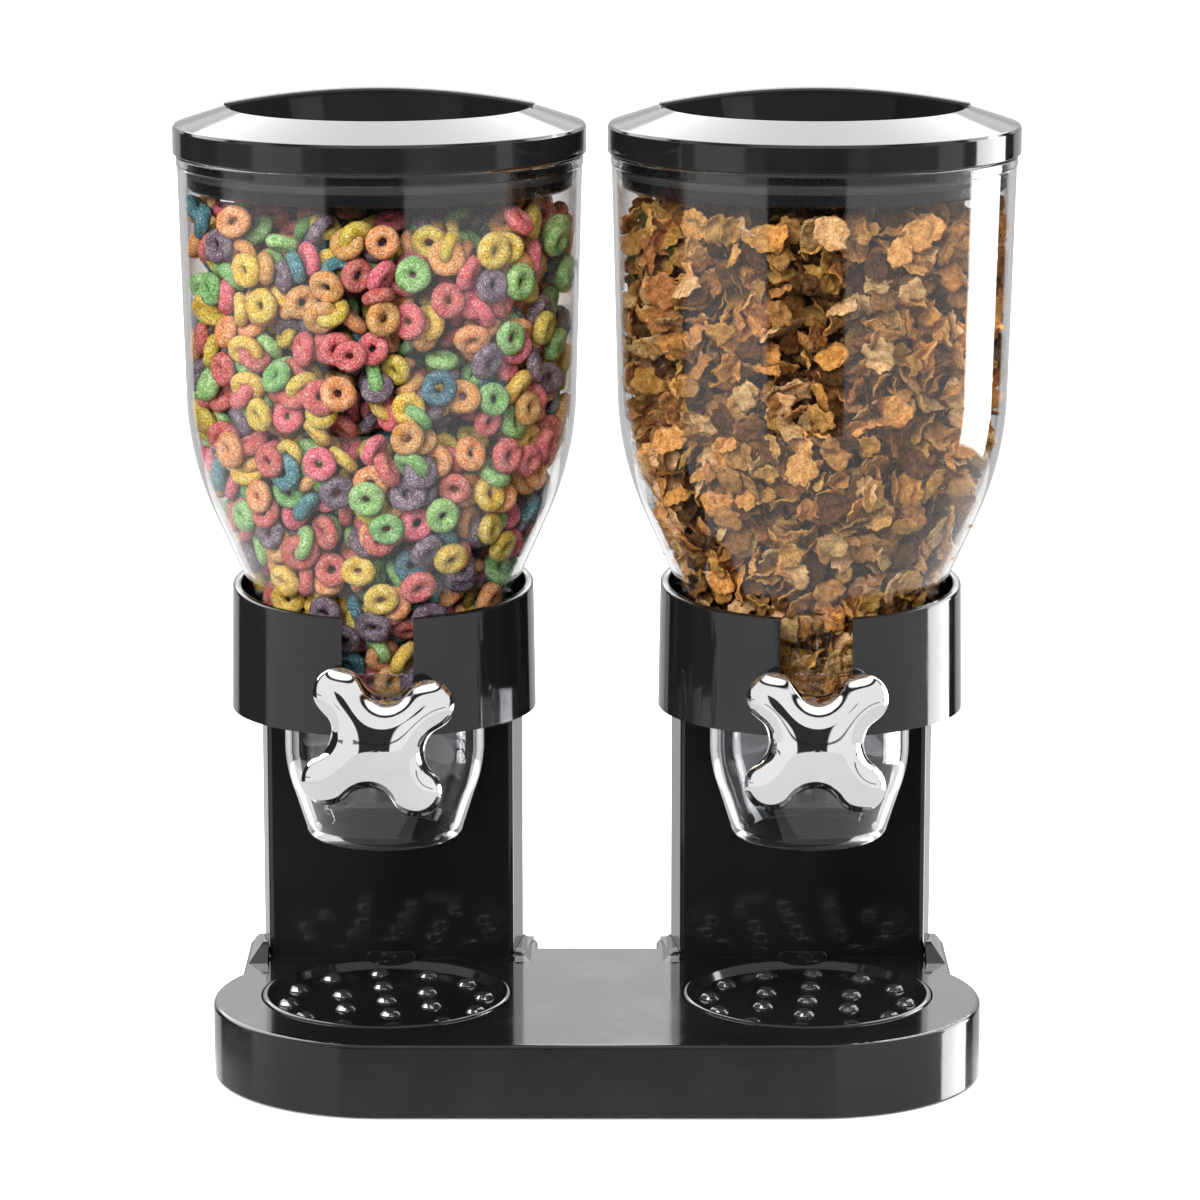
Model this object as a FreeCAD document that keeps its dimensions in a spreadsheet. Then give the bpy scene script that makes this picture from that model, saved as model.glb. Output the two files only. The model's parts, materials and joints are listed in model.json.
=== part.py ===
import FreeCAD, Part
import math
import os
import Sketcher

# Double cereal dispenser, in millimetres. +Z is up, +X to the user's right and -Y towards the user.
# The origin is on the table, midway between the two hopper axes, which stand at Y = 0.

SIZES = {
    # whole dispenser
    "axis_spacing": 168.0,       # between the two hopper axes
    "knob_height": 146.8,        # knob axis above the table
    # base
    "base_height": 30.0,
    "base_clear": 1.2,           # shell edge above the table, taken up by the feet
    "base_wall": 2.8,
    "base_roof": 3.0,
    "base_end_radius": 68.5,
    "base_end_y": -8.5,          # centre of the round ends
    "base_back": 64.0,           # back edge between the columns
    "base_edge_round": 1.6,
    "socket_half": 59.5,         # half width of the block that carries one column
    "socket_back": 80.0,
    "socket_corner": 6.0,
    "socket_wall": 4.0,
    "socket_back_wall": 2.0,
    "socket_gap": 0.15,
    "socket_block_half": 57.0,   # solid block under the column
    "socket_block_depth": 9.0,
    "socket_front_rise": 1.0,    # rim in front of the column, above the base
    "outer_ear_rise": 7.9,       # rounded tips at the column's sides
    "inner_ear_rise": 3.6,
    "ear_ahead": 3.0,            # ear's tip, ahead of the column's front
    "ear_ramp": 9.0,             # slope that climbs to the tip
    "ear_tail": 9.0,
    "ear_tail_rise": 2.2,
    "ear_tip": 2.2,              # radius of the ear's tip, from the side
    "ear_ridge": 1.3,            # and from the front
    "ear_gap": 0.6,
    "ear_thick": 8.5,            # at its foot
    "base_boss_radius": 4.5,
    "plate_thick": 2.0,
    "plate_gap": 0.3,
    "plate_boss_radius": 5.2,
    "plate_boss_rise": 1.8,
    "boss_gap": 0.1,             # between the plate's bosses and the shell's
    "foot_radius": 8.0,
    "foot_height": 2.4,
    "foot_gap": 0.1,
    "foot_pad_wall": 2.0,
    "foot_pad_rise": 1.2,
    # trays
    "tray_y": -4.0,
    "tray_radius": 49.5,
    "tray_gap": 0.5,
    "tray_floor": 24.4,          # underside of the tray above the table
    "tray_thick": 2.4,
    "tray_rim_width": 2.6,
    "tray_rim_rise": 0.8,        # rim above the base
    "tray_rim_round": 0.8,
    "tray_rim_slope": 2.2,
    "recess_wall": 3.5,          # ring round the tray, under the base's roof
    "recess_floor": 3.0,
    "recess_gap": 0.4,           # under the tray
    "bump_radius": 3.9,
    "bump_rise": 2.6,
    "bump_ring": 39.2,
    "tab_half": 10.0,
    "tab_rise": 4.6,
    "tab_inset": 2.0,            # tab's outer face, in from the tray's edge
    "tab_thick": 1.8,
    # columns
    "column_front": 50.0,
    "column_back": 76.0,
    "column_front_half": 49.8,
    "column_back_half": 53.8,
    "column_top": 190.0,
    "column_sink": 3.0,          # how deep the foot sits in the base
    "column_wall": 2.6,
    "column_edge_round": 2.5,
    "back_open_half": 44.0,
    "back_open_low": 38.0,
    "back_open_high": 180.0,
    "panel_gap": 0.2,
    "panel_lap": 0.1,
    "hook_hold": 2.0,            # how far a hook reaches behind the column's edge
    "hook_width": 5.0,
    "hook_thick": 2.1,
    "hook_length": 12.0,
    "column_boss_radius": 4.2,
    "column_boss_height": 18.0,
    # collars
    "collar_low": 148.0,
    "collar_low_radius": 59.9,
    "collar_top_radius": 59.0,
    "collar_top": 197.8,         # height of the sloping rim at the hopper axis
    "collar_slope": 0.07,        # rise of the rim per millimetre towards the back
    "collar_wall": 3.4,
    "collar_edge_round": 1.2,
    "slot_half": 13.8,
    "seat_low": 178.0,
    "seat_high": 188.0,
    "seat_slope": 5.0,           # height of the slope under the seat
    "seat_gap": 0.45,            # between the hopper's cone and its seat
    "collar_nest": 0.4,          # gap between the collar and the column's hollow
    "collar_drop": 0.1,          # gap under the collar in that hollow
    # hoppers
    "hopper_wall": 2.4,
    "hopper_rim": 375.2,
    "hopper_rim_radius": 77.2,
    "rim_wall": 1.8,
    "bead_low": 362.4,
    "bead_high": 365.6,
    "bead_radius": 79.2,
    "bead_ramp": 0.8,
    "barrel_top_radius": 78.4,
    "barrel_low": 271.0,
    "barrel_low_radius": 76.0,
    "shoulder_radius": 119.4,
    "cone_top": 226.0,
    "cone_top_radius": 65.7,
    "neck_top": 173.2,
    "neck_radius": 42.0,
    "neck_low": 152.0,
    "saddle_gap": 0.3,           # between the neck's notch and the cup's front boss
    # outlet cups
    "cup_top": 168.0,
    "cup_radius": 39.4,
    "cup_wall": 3.0,
    "cup_bend": 131.0,
    "cup_bend_radius": 55.0,
    "cup_cone_top": 113.4,
    "cup_cone_radius": 35.9,
    "cup_corner": 99.6,          # where the cone turns in towards the outlet
    "cup_corner_radius": 31.6,
    "cup_corner_round": 6.0,
    "cup_low": 94.5,
    "cup_low_radius": 27.6,
    "cup_flange": 41.8,
    "flange_gap": 0.1,
    "flange_thick": 3.7,
    "flange_ramp": 0.6,
    "lip_chamfer": 1.2,
    "boss_radius": 12.4,
    "boss_front": 60.6,
    "boss_root": 34.0,           # where the front boss starts, inside the wall
    "rear_boss_radius": 9.0,
    "rear_boss_inner": 28.0,
    "rear_boss_outer": 38.8,
    # knob, shaft and wheel
    "shaft_radius": 5.5,
    "shaft_in_knob": 7.5,
    "journal_radius": 4.0,
    "journal_depth": 7.4,
    "tail_gap": 0.6,             # between the square's end and the rear boss
    "tail_length": 7.0,
    "running_gap": 0.05,
    "square_side": 8.0,
    "square_reach": 3.0,         # square drive ahead of the wheel
    "knob_back": 62.4,
    "knob_front": 76.0,
    "knob_hub_back": 61.2,
    "knob_hub_radius": 10.4,
    "knob_bore_depth": 8.0,
    "lobe_centre": 24.3,
    "lobe_radius": 10.0,
    "lobe_saddle": 18.2,
    "knob_edge_round": 6.0,
    "wheel_radius": 34.0,
    "wheel_ball": 34.8,
    "wheel_half": 26.0,
    "hub_radius": 8.5,
    "hub_stand": 0.5,            # hub past the wheel at each end
    "sleeve_radius": 10.5,
    "vane_thick": 2.0,
    # lids
    "lid_radius": 80.0,
    "lid_low": 366.7,
    "lid_band_top": 377.4,
    "lid_wall": 2.2,
    "band_round": 1.0,
    "crest_round": 1.2,
    "lid_crest": 384.4,
    "lid_crest_radius": 58.8,
    "well_radius": 56.6,
    "well_floor_radius": 53.0,
    "well_floor": 371.0,
    "grip_top": 391.6,
    "grip_end": 385.6,
    "grip_end_half": 60.2,
    "grip_half_thick": 3.2,
    "plug_radius": 74.4,
    "plug_low": 353.5,
    "plug_wall": 2.8,
    "plug_floor": 2.2,
    "plug_chamfer": 1.0,
    "plug_post_radius": 8.0,
    "plug_gap": 0.05,            # under the lid's well
    "seal_low": 358.4,
    "seal_high": 361.6,
    "seal_groove_radius": 72.9,
    "seal_radius": 74.85,
    "seal_gap": 0.1,
    "seal_bulge": 0.1,
    # screws
    "screw_radius": 1.5,
    "screw_head": 3.0,
    "screw_head_height": 1.8,
    "screw_gap": 0.2,            # round a screw in a clearance hole
    "thread_gap": 0.02,          # round a screw in the boss that it bites into
    "head_gap": 0.3,
    "base_screw_length": 12.0,
    "column_screw_length": 19.0,
    "collar_screw_length": 12.0,
}

BUMP_COUNTS = (1, 6, 12)         # raised dots in the centre and on the two rings
VANE_COUNT = 6
KNOB_TURN = {"left": 8.0, "right": 1.0}   # degrees each knob was left turned by
SIDES = {"left": -1, "right": 1}
TRAY_TURN = {"left": -6.6, "right": 6.0}  # degrees each tray lies turned by, seen from above
COLUMN_BOSS_X = 32.0             # screw bosses in a column's foot, from the hopper axis
COLUMN_BOSS_Y = 64.0
COLLAR_SCREW_X = 18.0
OVERLAP = 1.0                    # how far a shape runs into or past another one in a boolean

doc = FreeCAD.newDocument("CerealDispenser")
sheet = doc.addObject("Spreadsheet::Sheet", "Sizes")


class Dim:
    """A length that carries its value and the sheet expression it comes from."""

    def __init__(self, value, text):
        self.value = value
        self.text = text

    def __add__(self, other):
        other = as_dim(other)
        return Dim(self.value + other.value, f"({self.text} + {other.text})")

    def __sub__(self, other):
        other = as_dim(other)
        return Dim(self.value - other.value, f"({self.text} - {other.text})")

    def __mul__(self, other):
        other = as_dim(other)
        return Dim(self.value * other.value, f"({self.text} * {other.text})")

    def __truediv__(self, other):
        other = as_dim(other)
        return Dim(self.value / other.value, f"({self.text} / {other.text})")

    def __neg__(self):
        return Dim(-self.value, f"(0 - {self.text})")

    def __radd__(self, other):
        return as_dim(other) + self

    def __rsub__(self, other):
        return as_dim(other) - self

    def __rmul__(self, other):
        return as_dim(other) * self


def as_dim(number):
    """Wrap a plain number so that it can be combined with sheet sizes."""
    if isinstance(number, Dim):
        return number
    return Dim(float(number), f"({float(number):.6f})")


def root(dim):
    """Square root of a dimension."""
    return Dim(math.sqrt(dim.value), f"sqrt({dim.text})")


class SheetSizes:
    """Gives each named cell as a Dim attribute."""


def fill_sheet():
    sizes = SheetSizes()
    for row, (name, value) in enumerate(SIZES.items(), start=1):
        sheet.set(f"A{row}", name)
        sheet.set(f"B{row}", str(value))
        sheet.setAlias(f"B{row}", name)
        setattr(sizes, name, Dim(value, f"Sizes.{name}"))
    doc.recompute()
    return sizes


S = fill_sheet()


# ---- helpers --------------------------------------------------------------------------------

def bind(thing, prop, dim):
    """Tie one property to the sheet."""
    thing.setExpression(prop, as_dim(dim).text)


def place(thing, at):
    """Tie an object's position to the sheet."""
    for letter, dim in zip("xyz", at):
        bind(thing, f"Placement.Base.{letter}", dim)


def new_body(name):
    body = doc.addObject("PartDesign::Body", name)
    body.Label = name
    return body


def plane_of(body, role):
    return next(item for item in body.Origin.OriginFeatures if item.Role == role)


def arc_geometry(start, end, radius, side):
    """Arc from start to end, bulging left (+1) or right (-1) of that direction."""
    chord = end - start
    half = chord.Length / 2
    normal = FreeCAD.Vector(-chord.y, chord.x, 0).normalize()
    centre = (start + end) / 2 - normal * side * math.sqrt(radius ** 2 - half ** 2)
    first, last = (end, start) if side > 0 else (start, end)
    angle_first = math.atan2(first.y - centre.y, first.x - centre.x)
    angle_last = math.atan2(last.y - centre.y, last.x - centre.x)
    if angle_last < angle_first:
        angle_last += 2 * math.pi
    circle = Part.Circle(centre, FreeCAD.Vector(0, 0, 1), radius)
    return Part.ArcOfCircle(circle, angle_first, angle_last)


def outline(body, name, role, corners):
    """Closed sketch through corners (across, up); a corner (across, up, radius, side) starts an arc."""
    sketch = body.newObject("Sketcher::SketchObject", name)
    sketch.AttachmentSupport = [(plane_of(body, role), "")]
    sketch.MapMode = "FlatFace"
    points = [(as_dim(corner[0]), as_dim(corner[1])) for corner in corners]
    spots = [FreeCAD.Vector(across.value, up.value, 0) for across, up in points]
    count = len(corners)
    starts = []
    ends = []
    for index, corner in enumerate(corners):
        start, end = spots[index], spots[(index + 1) % count]
        if len(corner) == 2:
            sketch.addGeometry(Part.LineSegment(start, end), False)
            starts.append(1)
            ends.append(2)
            continue
        radius, side = as_dim(corner[2]), corner[3]
        sketch.addGeometry(arc_geometry(start, end, radius.value, side), False)
        starts.append(2 if side > 0 else 1)
        ends.append(1 if side > 0 else 2)
    for index in range(count):
        following = (index + 1) % count
        sketch.addConstraint(Sketcher.Constraint(
            "Coincident", index, ends[index], following, starts[following]))
    for index, (across, up) in enumerate(points):
        for kind, dim in (("DistanceX", across), ("DistanceY", up)):
            number = sketch.addConstraint(Sketcher.Constraint(
                kind, -1, 1, index, starts[index], dim.value))
            sketch.setExpression(f"Constraints[{number}]", dim.text)
        if len(corners[index]) > 2:
            radius = as_dim(corners[index][2])
            number = sketch.addConstraint(Sketcher.Constraint("Radius", index, radius.value))
            sketch.setExpression(f"Constraints[{number}]", radius.text)
    return sketch


def turned(name, corners):
    """Solid of revolution about Z from an outline of (radius, height) corners."""
    body = new_body(name)
    sketch = outline(body, f"{name}_profile", "XZ_Plane", corners)
    spin = body.newObject("PartDesign::Revolution", f"{name}_spin")
    spin.Profile = sketch
    spin.ReferenceAxis = (sketch, ["V_Axis"])
    spin.Angle = 360
    return body


def extruded(name, corners, length, at=(0, 0, 0), role="XY_Plane", midplane=False):
    """Straight extrusion of an outline drawn on one of the origin planes."""
    body = new_body(name)
    sketch = outline(body, f"{name}_outline", role, corners)
    pad = body.newObject("PartDesign::Pad", f"{name}_pad")
    pad.Profile = sketch
    pad.Midplane = midplane
    bind(pad, "Length", length)
    place(body, at)
    return body


def round_edges(body, radius, wanted):
    """Round those edges of a body for which wanted(edge) holds."""
    doc.recompute()
    tip = body.Tip
    names = [f"Edge{number}" for number, edge in enumerate(tip.Shape.Edges, start=1) if wanted(edge)]
    fillet = body.newObject("PartDesign::Fillet", f"{body.Name}_round")
    fillet.Base = (tip, names)
    bind(fillet, "Radius", radius)
    return fillet


def box(low, high):
    solid = doc.addObject("Part::Box", "block")
    for prop, start, end in zip(("Length", "Width", "Height"), low, high):
        bind(solid, prop, as_dim(end) - start)
    place(solid, low)
    return solid


def rod(radius, length, at, along="z"):
    """Cylinder from a point, along +Z or +Y."""
    solid = doc.addObject("Part::Cylinder", "rod")
    bind(solid, "Radius", radius)
    bind(solid, "Height", length)
    if along == "y":
        solid.Placement = FreeCAD.Placement(
            FreeCAD.Vector(), FreeCAD.Rotation(FreeCAD.Vector(1, 0, 0), -90))
    place(solid, at)
    return solid


def fuse(name, solids):
    result = doc.addObject("Part::MultiFuse", name)
    result.Label = name
    result.Shapes = solids
    return result


def cut(name, solid, tools):
    result = doc.addObject("Part::Cut", name)
    result.Label = name
    result.Base = solid
    result.Tool = tools[0] if len(tools) == 1 else fuse(f"{name}_tools", tools)
    return result


def common(name, first, second):
    result = doc.addObject("Part::Common", name)
    result.Label = name
    result.Base = first
    result.Tool = second
    return result


def group(name, solids):
    """Several separate solids kept as one sub-part."""
    result = doc.addObject("Part::Compound", name)
    result.Label = name
    result.Links = solids
    return result


def screw(x, y, z, length, along="z"):
    """Plain screw from under its head at (x, y, z): up along +Z, or forward along -Y."""
    if along == "y":
        head_at, shank_at = (x, y, z), (x, as_dim(y) - length, z)
    else:
        head_at, shank_at = (x, y, as_dim(z) - S.screw_head_height), (x, y, z)
    return fuse("screw", [
        rod(S.screw_head, S.screw_head_height, head_at, along),
        rod(S.screw_radius, length, shank_at, along)])


parts = {}


def keep(name, thing, at=None):
    """Register a finished sub-part under its node name, and place it."""
    thing.Label = name
    if at is not None:
        place(thing, at)
    parts[name] = thing


def side_x(side):
    return S.axis_spacing * (SIDES[side] * 0.5)


# ---- base -----------------------------------------------------------------------------------

def base_corners(inset):
    """Half of the base's outline and its mirror image, pulled in by inset."""
    end_x = S.axis_spacing / 2
    radius = S.base_end_radius - inset
    outer = S.axis_spacing / 2 + S.socket_half - inset
    inner = S.axis_spacing / 2 - S.socket_half + inset
    meet_y = S.base_end_y + root(radius * radius - (outer - end_x) * (outer - end_x))
    back = S.socket_back - inset
    corner = S.socket_corner - inset
    front = S.base_end_y - radius
    middle_back = S.base_back - inset
    return [
        (-end_x, front), (end_x, front, radius, -1), (outer, meet_y),
        (outer, back - corner, corner, -1), (outer - corner, back),
        (inner + corner, back, corner, -1), (inner, back - corner),
        (inner, middle_back), (-inner, middle_back),
        (-inner, back - corner, corner, -1), (-inner - corner, back),
        (-outer + corner, back, corner, -1), (-outer, back - corner),
        (-outer, meet_y, radius, -1)]


def column_corners(grow, grow_back=None):
    """Column outline about the hopper axis, grown by about grow, or by grow_back at the back."""
    back = S.column_back + (grow if grow_back is None else grow_back)
    return [
        (-S.column_front_half - grow, S.column_front - grow),
        (S.column_front_half + grow, S.column_front - grow),
        (S.column_back_half + grow, back),
        (-S.column_back_half - grow, back)]


# places of the base's screws and feet, in parts of the hopper axes' distance from the middle (across)
# and of the base's end radius (along)
BASE_SCREWS = ((-0.3, -0.80), (0.3, -0.80), (-1.55, -0.1), (1.55, -0.1), (-0.22, 0.62), (0.22, 0.62))
FEET = ((-1.0, -0.82), (1.0, -0.82), (-1.45, 0.95), (1.45, 0.95), (-0.55, 0.95), (0.55, 0.95))


def spread(pairs):
    """Turn (across, along) shares into places."""
    return [(S.axis_spacing / 2 * across, S.base_end_radius * along) for across, along in pairs]


def make_base():
    roof = S.base_height - S.base_roof
    block = extruded("base_block", base_corners(0), S.base_height - S.base_clear, (0, 0, S.base_clear))
    top = SIZES["base_height"] - SIZES["base_clear"]
    round_edges(block, S.base_edge_round, lambda edge: edge.BoundBox.ZMin > top - 0.01)
    hollow = extruded("base_hollow", base_corners(S.base_wall), roof - S.base_clear, (0, 0, S.base_clear))
    boss_low = S.base_clear + S.plate_thick + S.plate_boss_rise + S.boss_gap
    recess_low = S.tray_floor - S.recess_gap - S.recess_floor
    block_low = S.base_height - S.socket_block_depth
    kept = [rod(S.base_boss_radius, roof - boss_low, (x, y, boss_low)) for x, y in spread(BASE_SCREWS)]
    added = [block]
    removed = [rod(S.screw_radius + S.thread_gap, S.base_screw_length, (x, y, boss_low - OVERLAP / 2))
               for x, y in spread(BASE_SCREWS)]
    for side in SIDES:
        x = side_x(side)
        kept.append(rod(S.tray_radius + S.recess_wall, roof - recess_low, (x, S.tray_y, recess_low)))
        kept.append(box((x - S.socket_block_half, S.column_front - S.socket_wall, block_low),
                        (x + S.socket_block_half, S.socket_back - OVERLAP, roof)))
        added.append(extruded("socket_rim", column_corners(S.socket_wall, S.socket_back_wall),
                              S.socket_front_rise + OVERLAP, (x, 0, S.base_height - OVERLAP)))
        added += make_ears(side)
        recess_at = (x, S.tray_y, S.tray_floor - S.recess_gap)
        removed.append(rod(S.tray_radius + S.tray_gap, S.base_height, recess_at))
        removed.append(extruded("column_seat", column_corners(S.socket_gap), S.base_height,
                                (x, 0, S.base_height - S.column_sink)))
        removed += [rod(S.screw_radius + S.screw_gap, S.socket_block_depth + 2 * OVERLAP,
                        (x + COLUMN_BOSS_X * hand, COLUMN_BOSS_Y, block_low - 2 * OVERLAP))
                    for hand in (-1, 1)]
    net_hollow = cut("base_net_hollow", hollow, kept)
    keep("base_shell", cut("base_shell", fuse("base_solid", added), [net_hollow] + removed), (0, 0, 0))


def make_ears(side):
    """Rounded tips on both sides of a column's foot: thin ridges that a ramp climbs from the front."""
    x, low, tip = side_x(side), S.base_height - OVERLAP, S.ear_tip
    back = S.column_back + S.socket_back_wall
    front = S.column_front - S.ear_ahead
    tail = S.base_height + S.ear_tail_rise
    ears = []
    for hand in (-1, 1):
        rise = S.outer_ear_rise if hand == SIDES[side] else S.inner_ear_rise
        high = S.base_height + rise
        inner = x + (S.column_front_half + S.ear_gap) * hand
        ridge = inner + 1.9 * S.ear_ridge * hand
        corners = [(front - S.ear_ramp, low), (back, low), (back, tail), (front + S.ear_tail, tail),
                   (front + 1.9 * tip, high - tip, tip, -1), (front, high - tip)]
        wedge = extruded("ear_wedge", [
            (inner, low), (inner + S.ear_thick * hand, low), (ridge, high - S.ear_ridge, S.ear_ridge, -hand),
            (inner, high - S.ear_ridge)], 2 * back, role="XZ_Plane", midplane=True)
        start = inner if hand > 0 else inner - S.ear_thick
        fin = extruded("ear_fin", corners, S.ear_thick, (start, 0, 0), role="YZ_Plane")
        ears.append(common("socket_ear", fin, wedge))
    return ears


def make_base_plate():
    """Bottom cover with a pocket for each foot and a sunk seat for each screw's head."""
    low, thick = S.base_clear, S.plate_thick
    cover_sheet = extruded("plate_sheet", base_corners(S.base_wall + S.plate_gap), thick, (0, 0, low))
    added, holes = [cover_sheet], []
    for x, y in spread(BASE_SCREWS):
        added.append(rod(S.plate_boss_radius, thick + S.plate_boss_rise, (x, y, low)))
        holes.append(rod(S.screw_radius + S.screw_gap, S.base_screw_length, (x, y, 0)))
        holes.append(rod(S.screw_head + S.head_gap, low + thick, (x, y, 0)))
    for x, y in spread(FEET):
        added.append(rod(S.foot_radius + S.foot_pad_wall, thick + S.foot_pad_rise, (x, y, low)))
        holes.append(rod(S.foot_radius + S.foot_gap, S.foot_height, (x, y, 0)))
    keep("base_plate", cut("base_plate", fuse("plate_solid", added), holes), (0, 0, 0))


def make_feet():
    feet = [rod(S.foot_radius, S.foot_height, (x, y, 0)) for x, y in spread(FEET)]
    keep("rubber_feet", group("rubber_feet", feet), (0, 0, 0))


def make_base_screws():
    seat = S.base_clear + S.plate_thick
    screws = [screw(x, y, seat, S.base_screw_length) for x, y in spread(BASE_SCREWS)]
    keep("base_screws", group("base_screws", screws), (0, 0, 0))


# ---- trays ----------------------------------------------------------------------------------

def make_tray(side):
    name = f"tray_{side}"
    rim_top = S.base_height + S.tray_rim_rise
    floor_top = S.tray_floor + S.tray_thick
    inner = S.tray_radius - S.tray_rim_width
    edge = S.tray_rim_round
    solids = [turned(f"{name}_dish", [
        (0, S.tray_floor), (S.tray_radius, S.tray_floor), (S.tray_radius, rim_top - edge, edge, -1),
        (S.tray_radius - edge, rim_top), (inner, rim_top), (inner - S.tray_rim_slope, floor_top),
        (0, floor_top)])]
    for ring, count in enumerate(BUMP_COUNTS):
        radius = S.bump_ring * (ring / 2)
        for number in range(count):
            angle = math.radians(360 * number / count + TRAY_TURN[side])
            spot = (radius * math.sin(angle), radius * math.cos(angle), floor_top - OVERLAP / 2)
            solids.append(rod(S.bump_radius, S.bump_rise + OVERLAP / 2, spot))
    tab_back = S.tray_radius - S.tab_inset
    solids.append(box((-S.tab_half, tab_back - S.tab_thick, floor_top),
                      (S.tab_half, tab_back, S.base_height + S.tab_rise)))
    keep(name, fuse(name, solids), (side_x(side), S.tray_y, 0))


# ---- columns --------------------------------------------------------------------------------

def make_column(side):
    name = f"column_{side}"
    foot = S.base_height - S.column_sink
    shell = extruded(f"{name}_solid", column_corners(0), S.column_top - foot, (0, 0, foot))
    height = SIZES["column_top"] - SIZES["base_height"] + SIZES["column_sink"]
    round_edges(shell, S.column_edge_round,
                lambda edge: edge.Length > height - 1 or edge.BoundBox.ZMin > height - 0.01)
    wall = S.column_wall
    low, high = foot + wall, S.column_top - wall
    cavity = extruded(f"{name}_cavity", column_corners(-wall), high - low, (0, 0, low))
    nest = S.collar_low_radius + S.collar_nest
    nest_low = S.collar_low - S.collar_drop
    kept = [rod(nest + wall, S.column_top - S.collar_low + wall, (0, 0, S.collar_low - wall))]
    removed = [
        rod(nest, S.column_top - nest_low + OVERLAP, (0, 0, nest_low)),
        box((-S.back_open_half, S.column_back - 2 * wall, S.back_open_low),
            (S.back_open_half, S.column_back + OVERLAP, S.back_open_high))]
    middle = (S.seat_low + S.seat_high) / 2
    for hand in (-1, 1):
        boss = (COLUMN_BOSS_X * hand, COLUMN_BOSS_Y)
        kept.append(rod(S.column_boss_radius, S.column_boss_height, (*boss, foot)))
        removed.append(rod(S.screw_radius + S.thread_gap, S.column_boss_height - OVERLAP,
                           (*boss, foot - OVERLAP)))
        removed.append(rod(S.screw_radius + S.screw_gap, S.column_back + OVERLAP,
                           (COLLAR_SCREW_X * hand, 0, middle), "y"))
    removed.append(cut(f"{name}_net_cavity", cavity, kept))
    keep(name, cut(name, shell, removed), (side_x(side), 0, 0))


def make_column_cover(side):
    """Flat panel that snaps into the back of the column with four hooks."""
    name = f"column_cover_{side}"
    gap = S.panel_gap
    half, low, high = S.back_open_half - gap, S.back_open_low + gap, S.back_open_high - gap
    inner = S.column_back - S.column_wall - S.panel_lap
    solids = [box((-half, inner, low), (half, S.column_back, high))]
    for level in (0.2, 0.8):
        z = low + (high - low) * level
        for start in (half + S.hook_hold - S.hook_width, -half - S.hook_hold):
            solids.append(box((start, inner - S.hook_thick, z),
                              (start + S.hook_width, inner, z + S.hook_length)))
    keep(name, fuse(name, solids), (side_x(side), 0, 0))


def make_column_screws(side):
    under = S.base_height - S.socket_block_depth
    screws = [screw(COLUMN_BOSS_X * hand, COLUMN_BOSS_Y, under, S.column_screw_length) for hand in (-1, 1)]
    keep(f"column_screws_{side}", group(f"column_screws_{side}", screws), (side_x(side), 0, 0))


# ---- collars --------------------------------------------------------------------------------

def cone_radius(height):
    """Outer radius of the hopper's cone at a height."""
    run = (S.cone_top_radius - S.neck_radius) / (S.cone_top - S.neck_top)
    return S.neck_radius + (height - S.neck_top) * run


def collar_screw_seat():
    """Height and Y of the place under a collar screw's head, on the column's inner wall."""
    nest = S.collar_low_radius + S.collar_nest + S.column_wall
    near = COLLAR_SCREW_X - S.screw_head
    return (S.seat_low + S.seat_high) / 2, root(nest * nest - near * near) + S.boss_gap


def make_collar(side):
    name = f"collar_{side}"
    reach = S.collar_low_radius + 10 * OVERLAP
    inner_low = S.collar_low_radius - S.collar_wall
    inner_top = S.collar_top_radius - S.collar_wall
    above = S.collar_top + S.collar_slope * reach + OVERLAP
    body = turned(name, [
        (inner_low, S.collar_low), (S.collar_low_radius, S.collar_low), (S.collar_top_radius, above),
        (inner_top, above), (inner_top, S.seat_high), (cone_radius(S.seat_high) + S.seat_gap, S.seat_high),
        (cone_radius(S.seat_low) + S.seat_gap, S.seat_low), (inner_top, S.seat_low - S.seat_slope)])
    slope = outline(body, f"{name}_slope", "YZ_Plane", [
        (-reach, S.collar_top - S.collar_slope * reach), (reach, S.collar_top + S.collar_slope * reach),
        (reach, above + OVERLAP), (-reach, above + OVERLAP)])
    front = outline(body, f"{name}_slot", "XY_Plane", [
        (-S.slot_half, -reach), (S.slot_half, -reach), (S.slot_half, 0), (-S.slot_half, 0)])
    for sketch in (slope, front):
        trim = body.newObject("PartDesign::Pocket", f"{sketch.Name}_cut")
        trim.Profile = sketch
        trim.Type = "ThroughAll"
        trim.Midplane = True
    rim_low = SIZES["collar_top"] - SIZES["collar_slope"] * SIZES["collar_low_radius"] - 0.2
    longest_slot_edge = 20.0
    round_edges(body, S.collar_edge_round,
                lambda edge: edge.BoundBox.ZMin > rim_low and edge.Length > longest_slot_edge)
    middle, seat_y = collar_screw_seat()
    length = S.collar_screw_length
    holes = [rod(S.screw_radius + S.thread_gap, length + 3 * OVERLAP,
                 (COLLAR_SCREW_X * hand, seat_y - length - OVERLAP, middle), "y") for hand in (-1, 1)]
    keep(name, cut(f"{name}_drilled", body, holes), (side_x(side), 0, 0))


def make_collar_screws(side):
    middle, seat_y = collar_screw_seat()
    screws = [screw(COLLAR_SCREW_X * hand, seat_y, middle, S.collar_screw_length, "y") for hand in (-1, 1)]
    keep(f"collar_screws_{side}", group(f"collar_screws_{side}", screws), (side_x(side), 0, 0))


# ---- hoppers and outlet cups ----------------------------------------------------------------

def lean_of(run, climb):
    """Cosine and sine of a slope's angle from the vertical."""
    length = root(run * run + climb * climb)
    return climb / length, run / length


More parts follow.
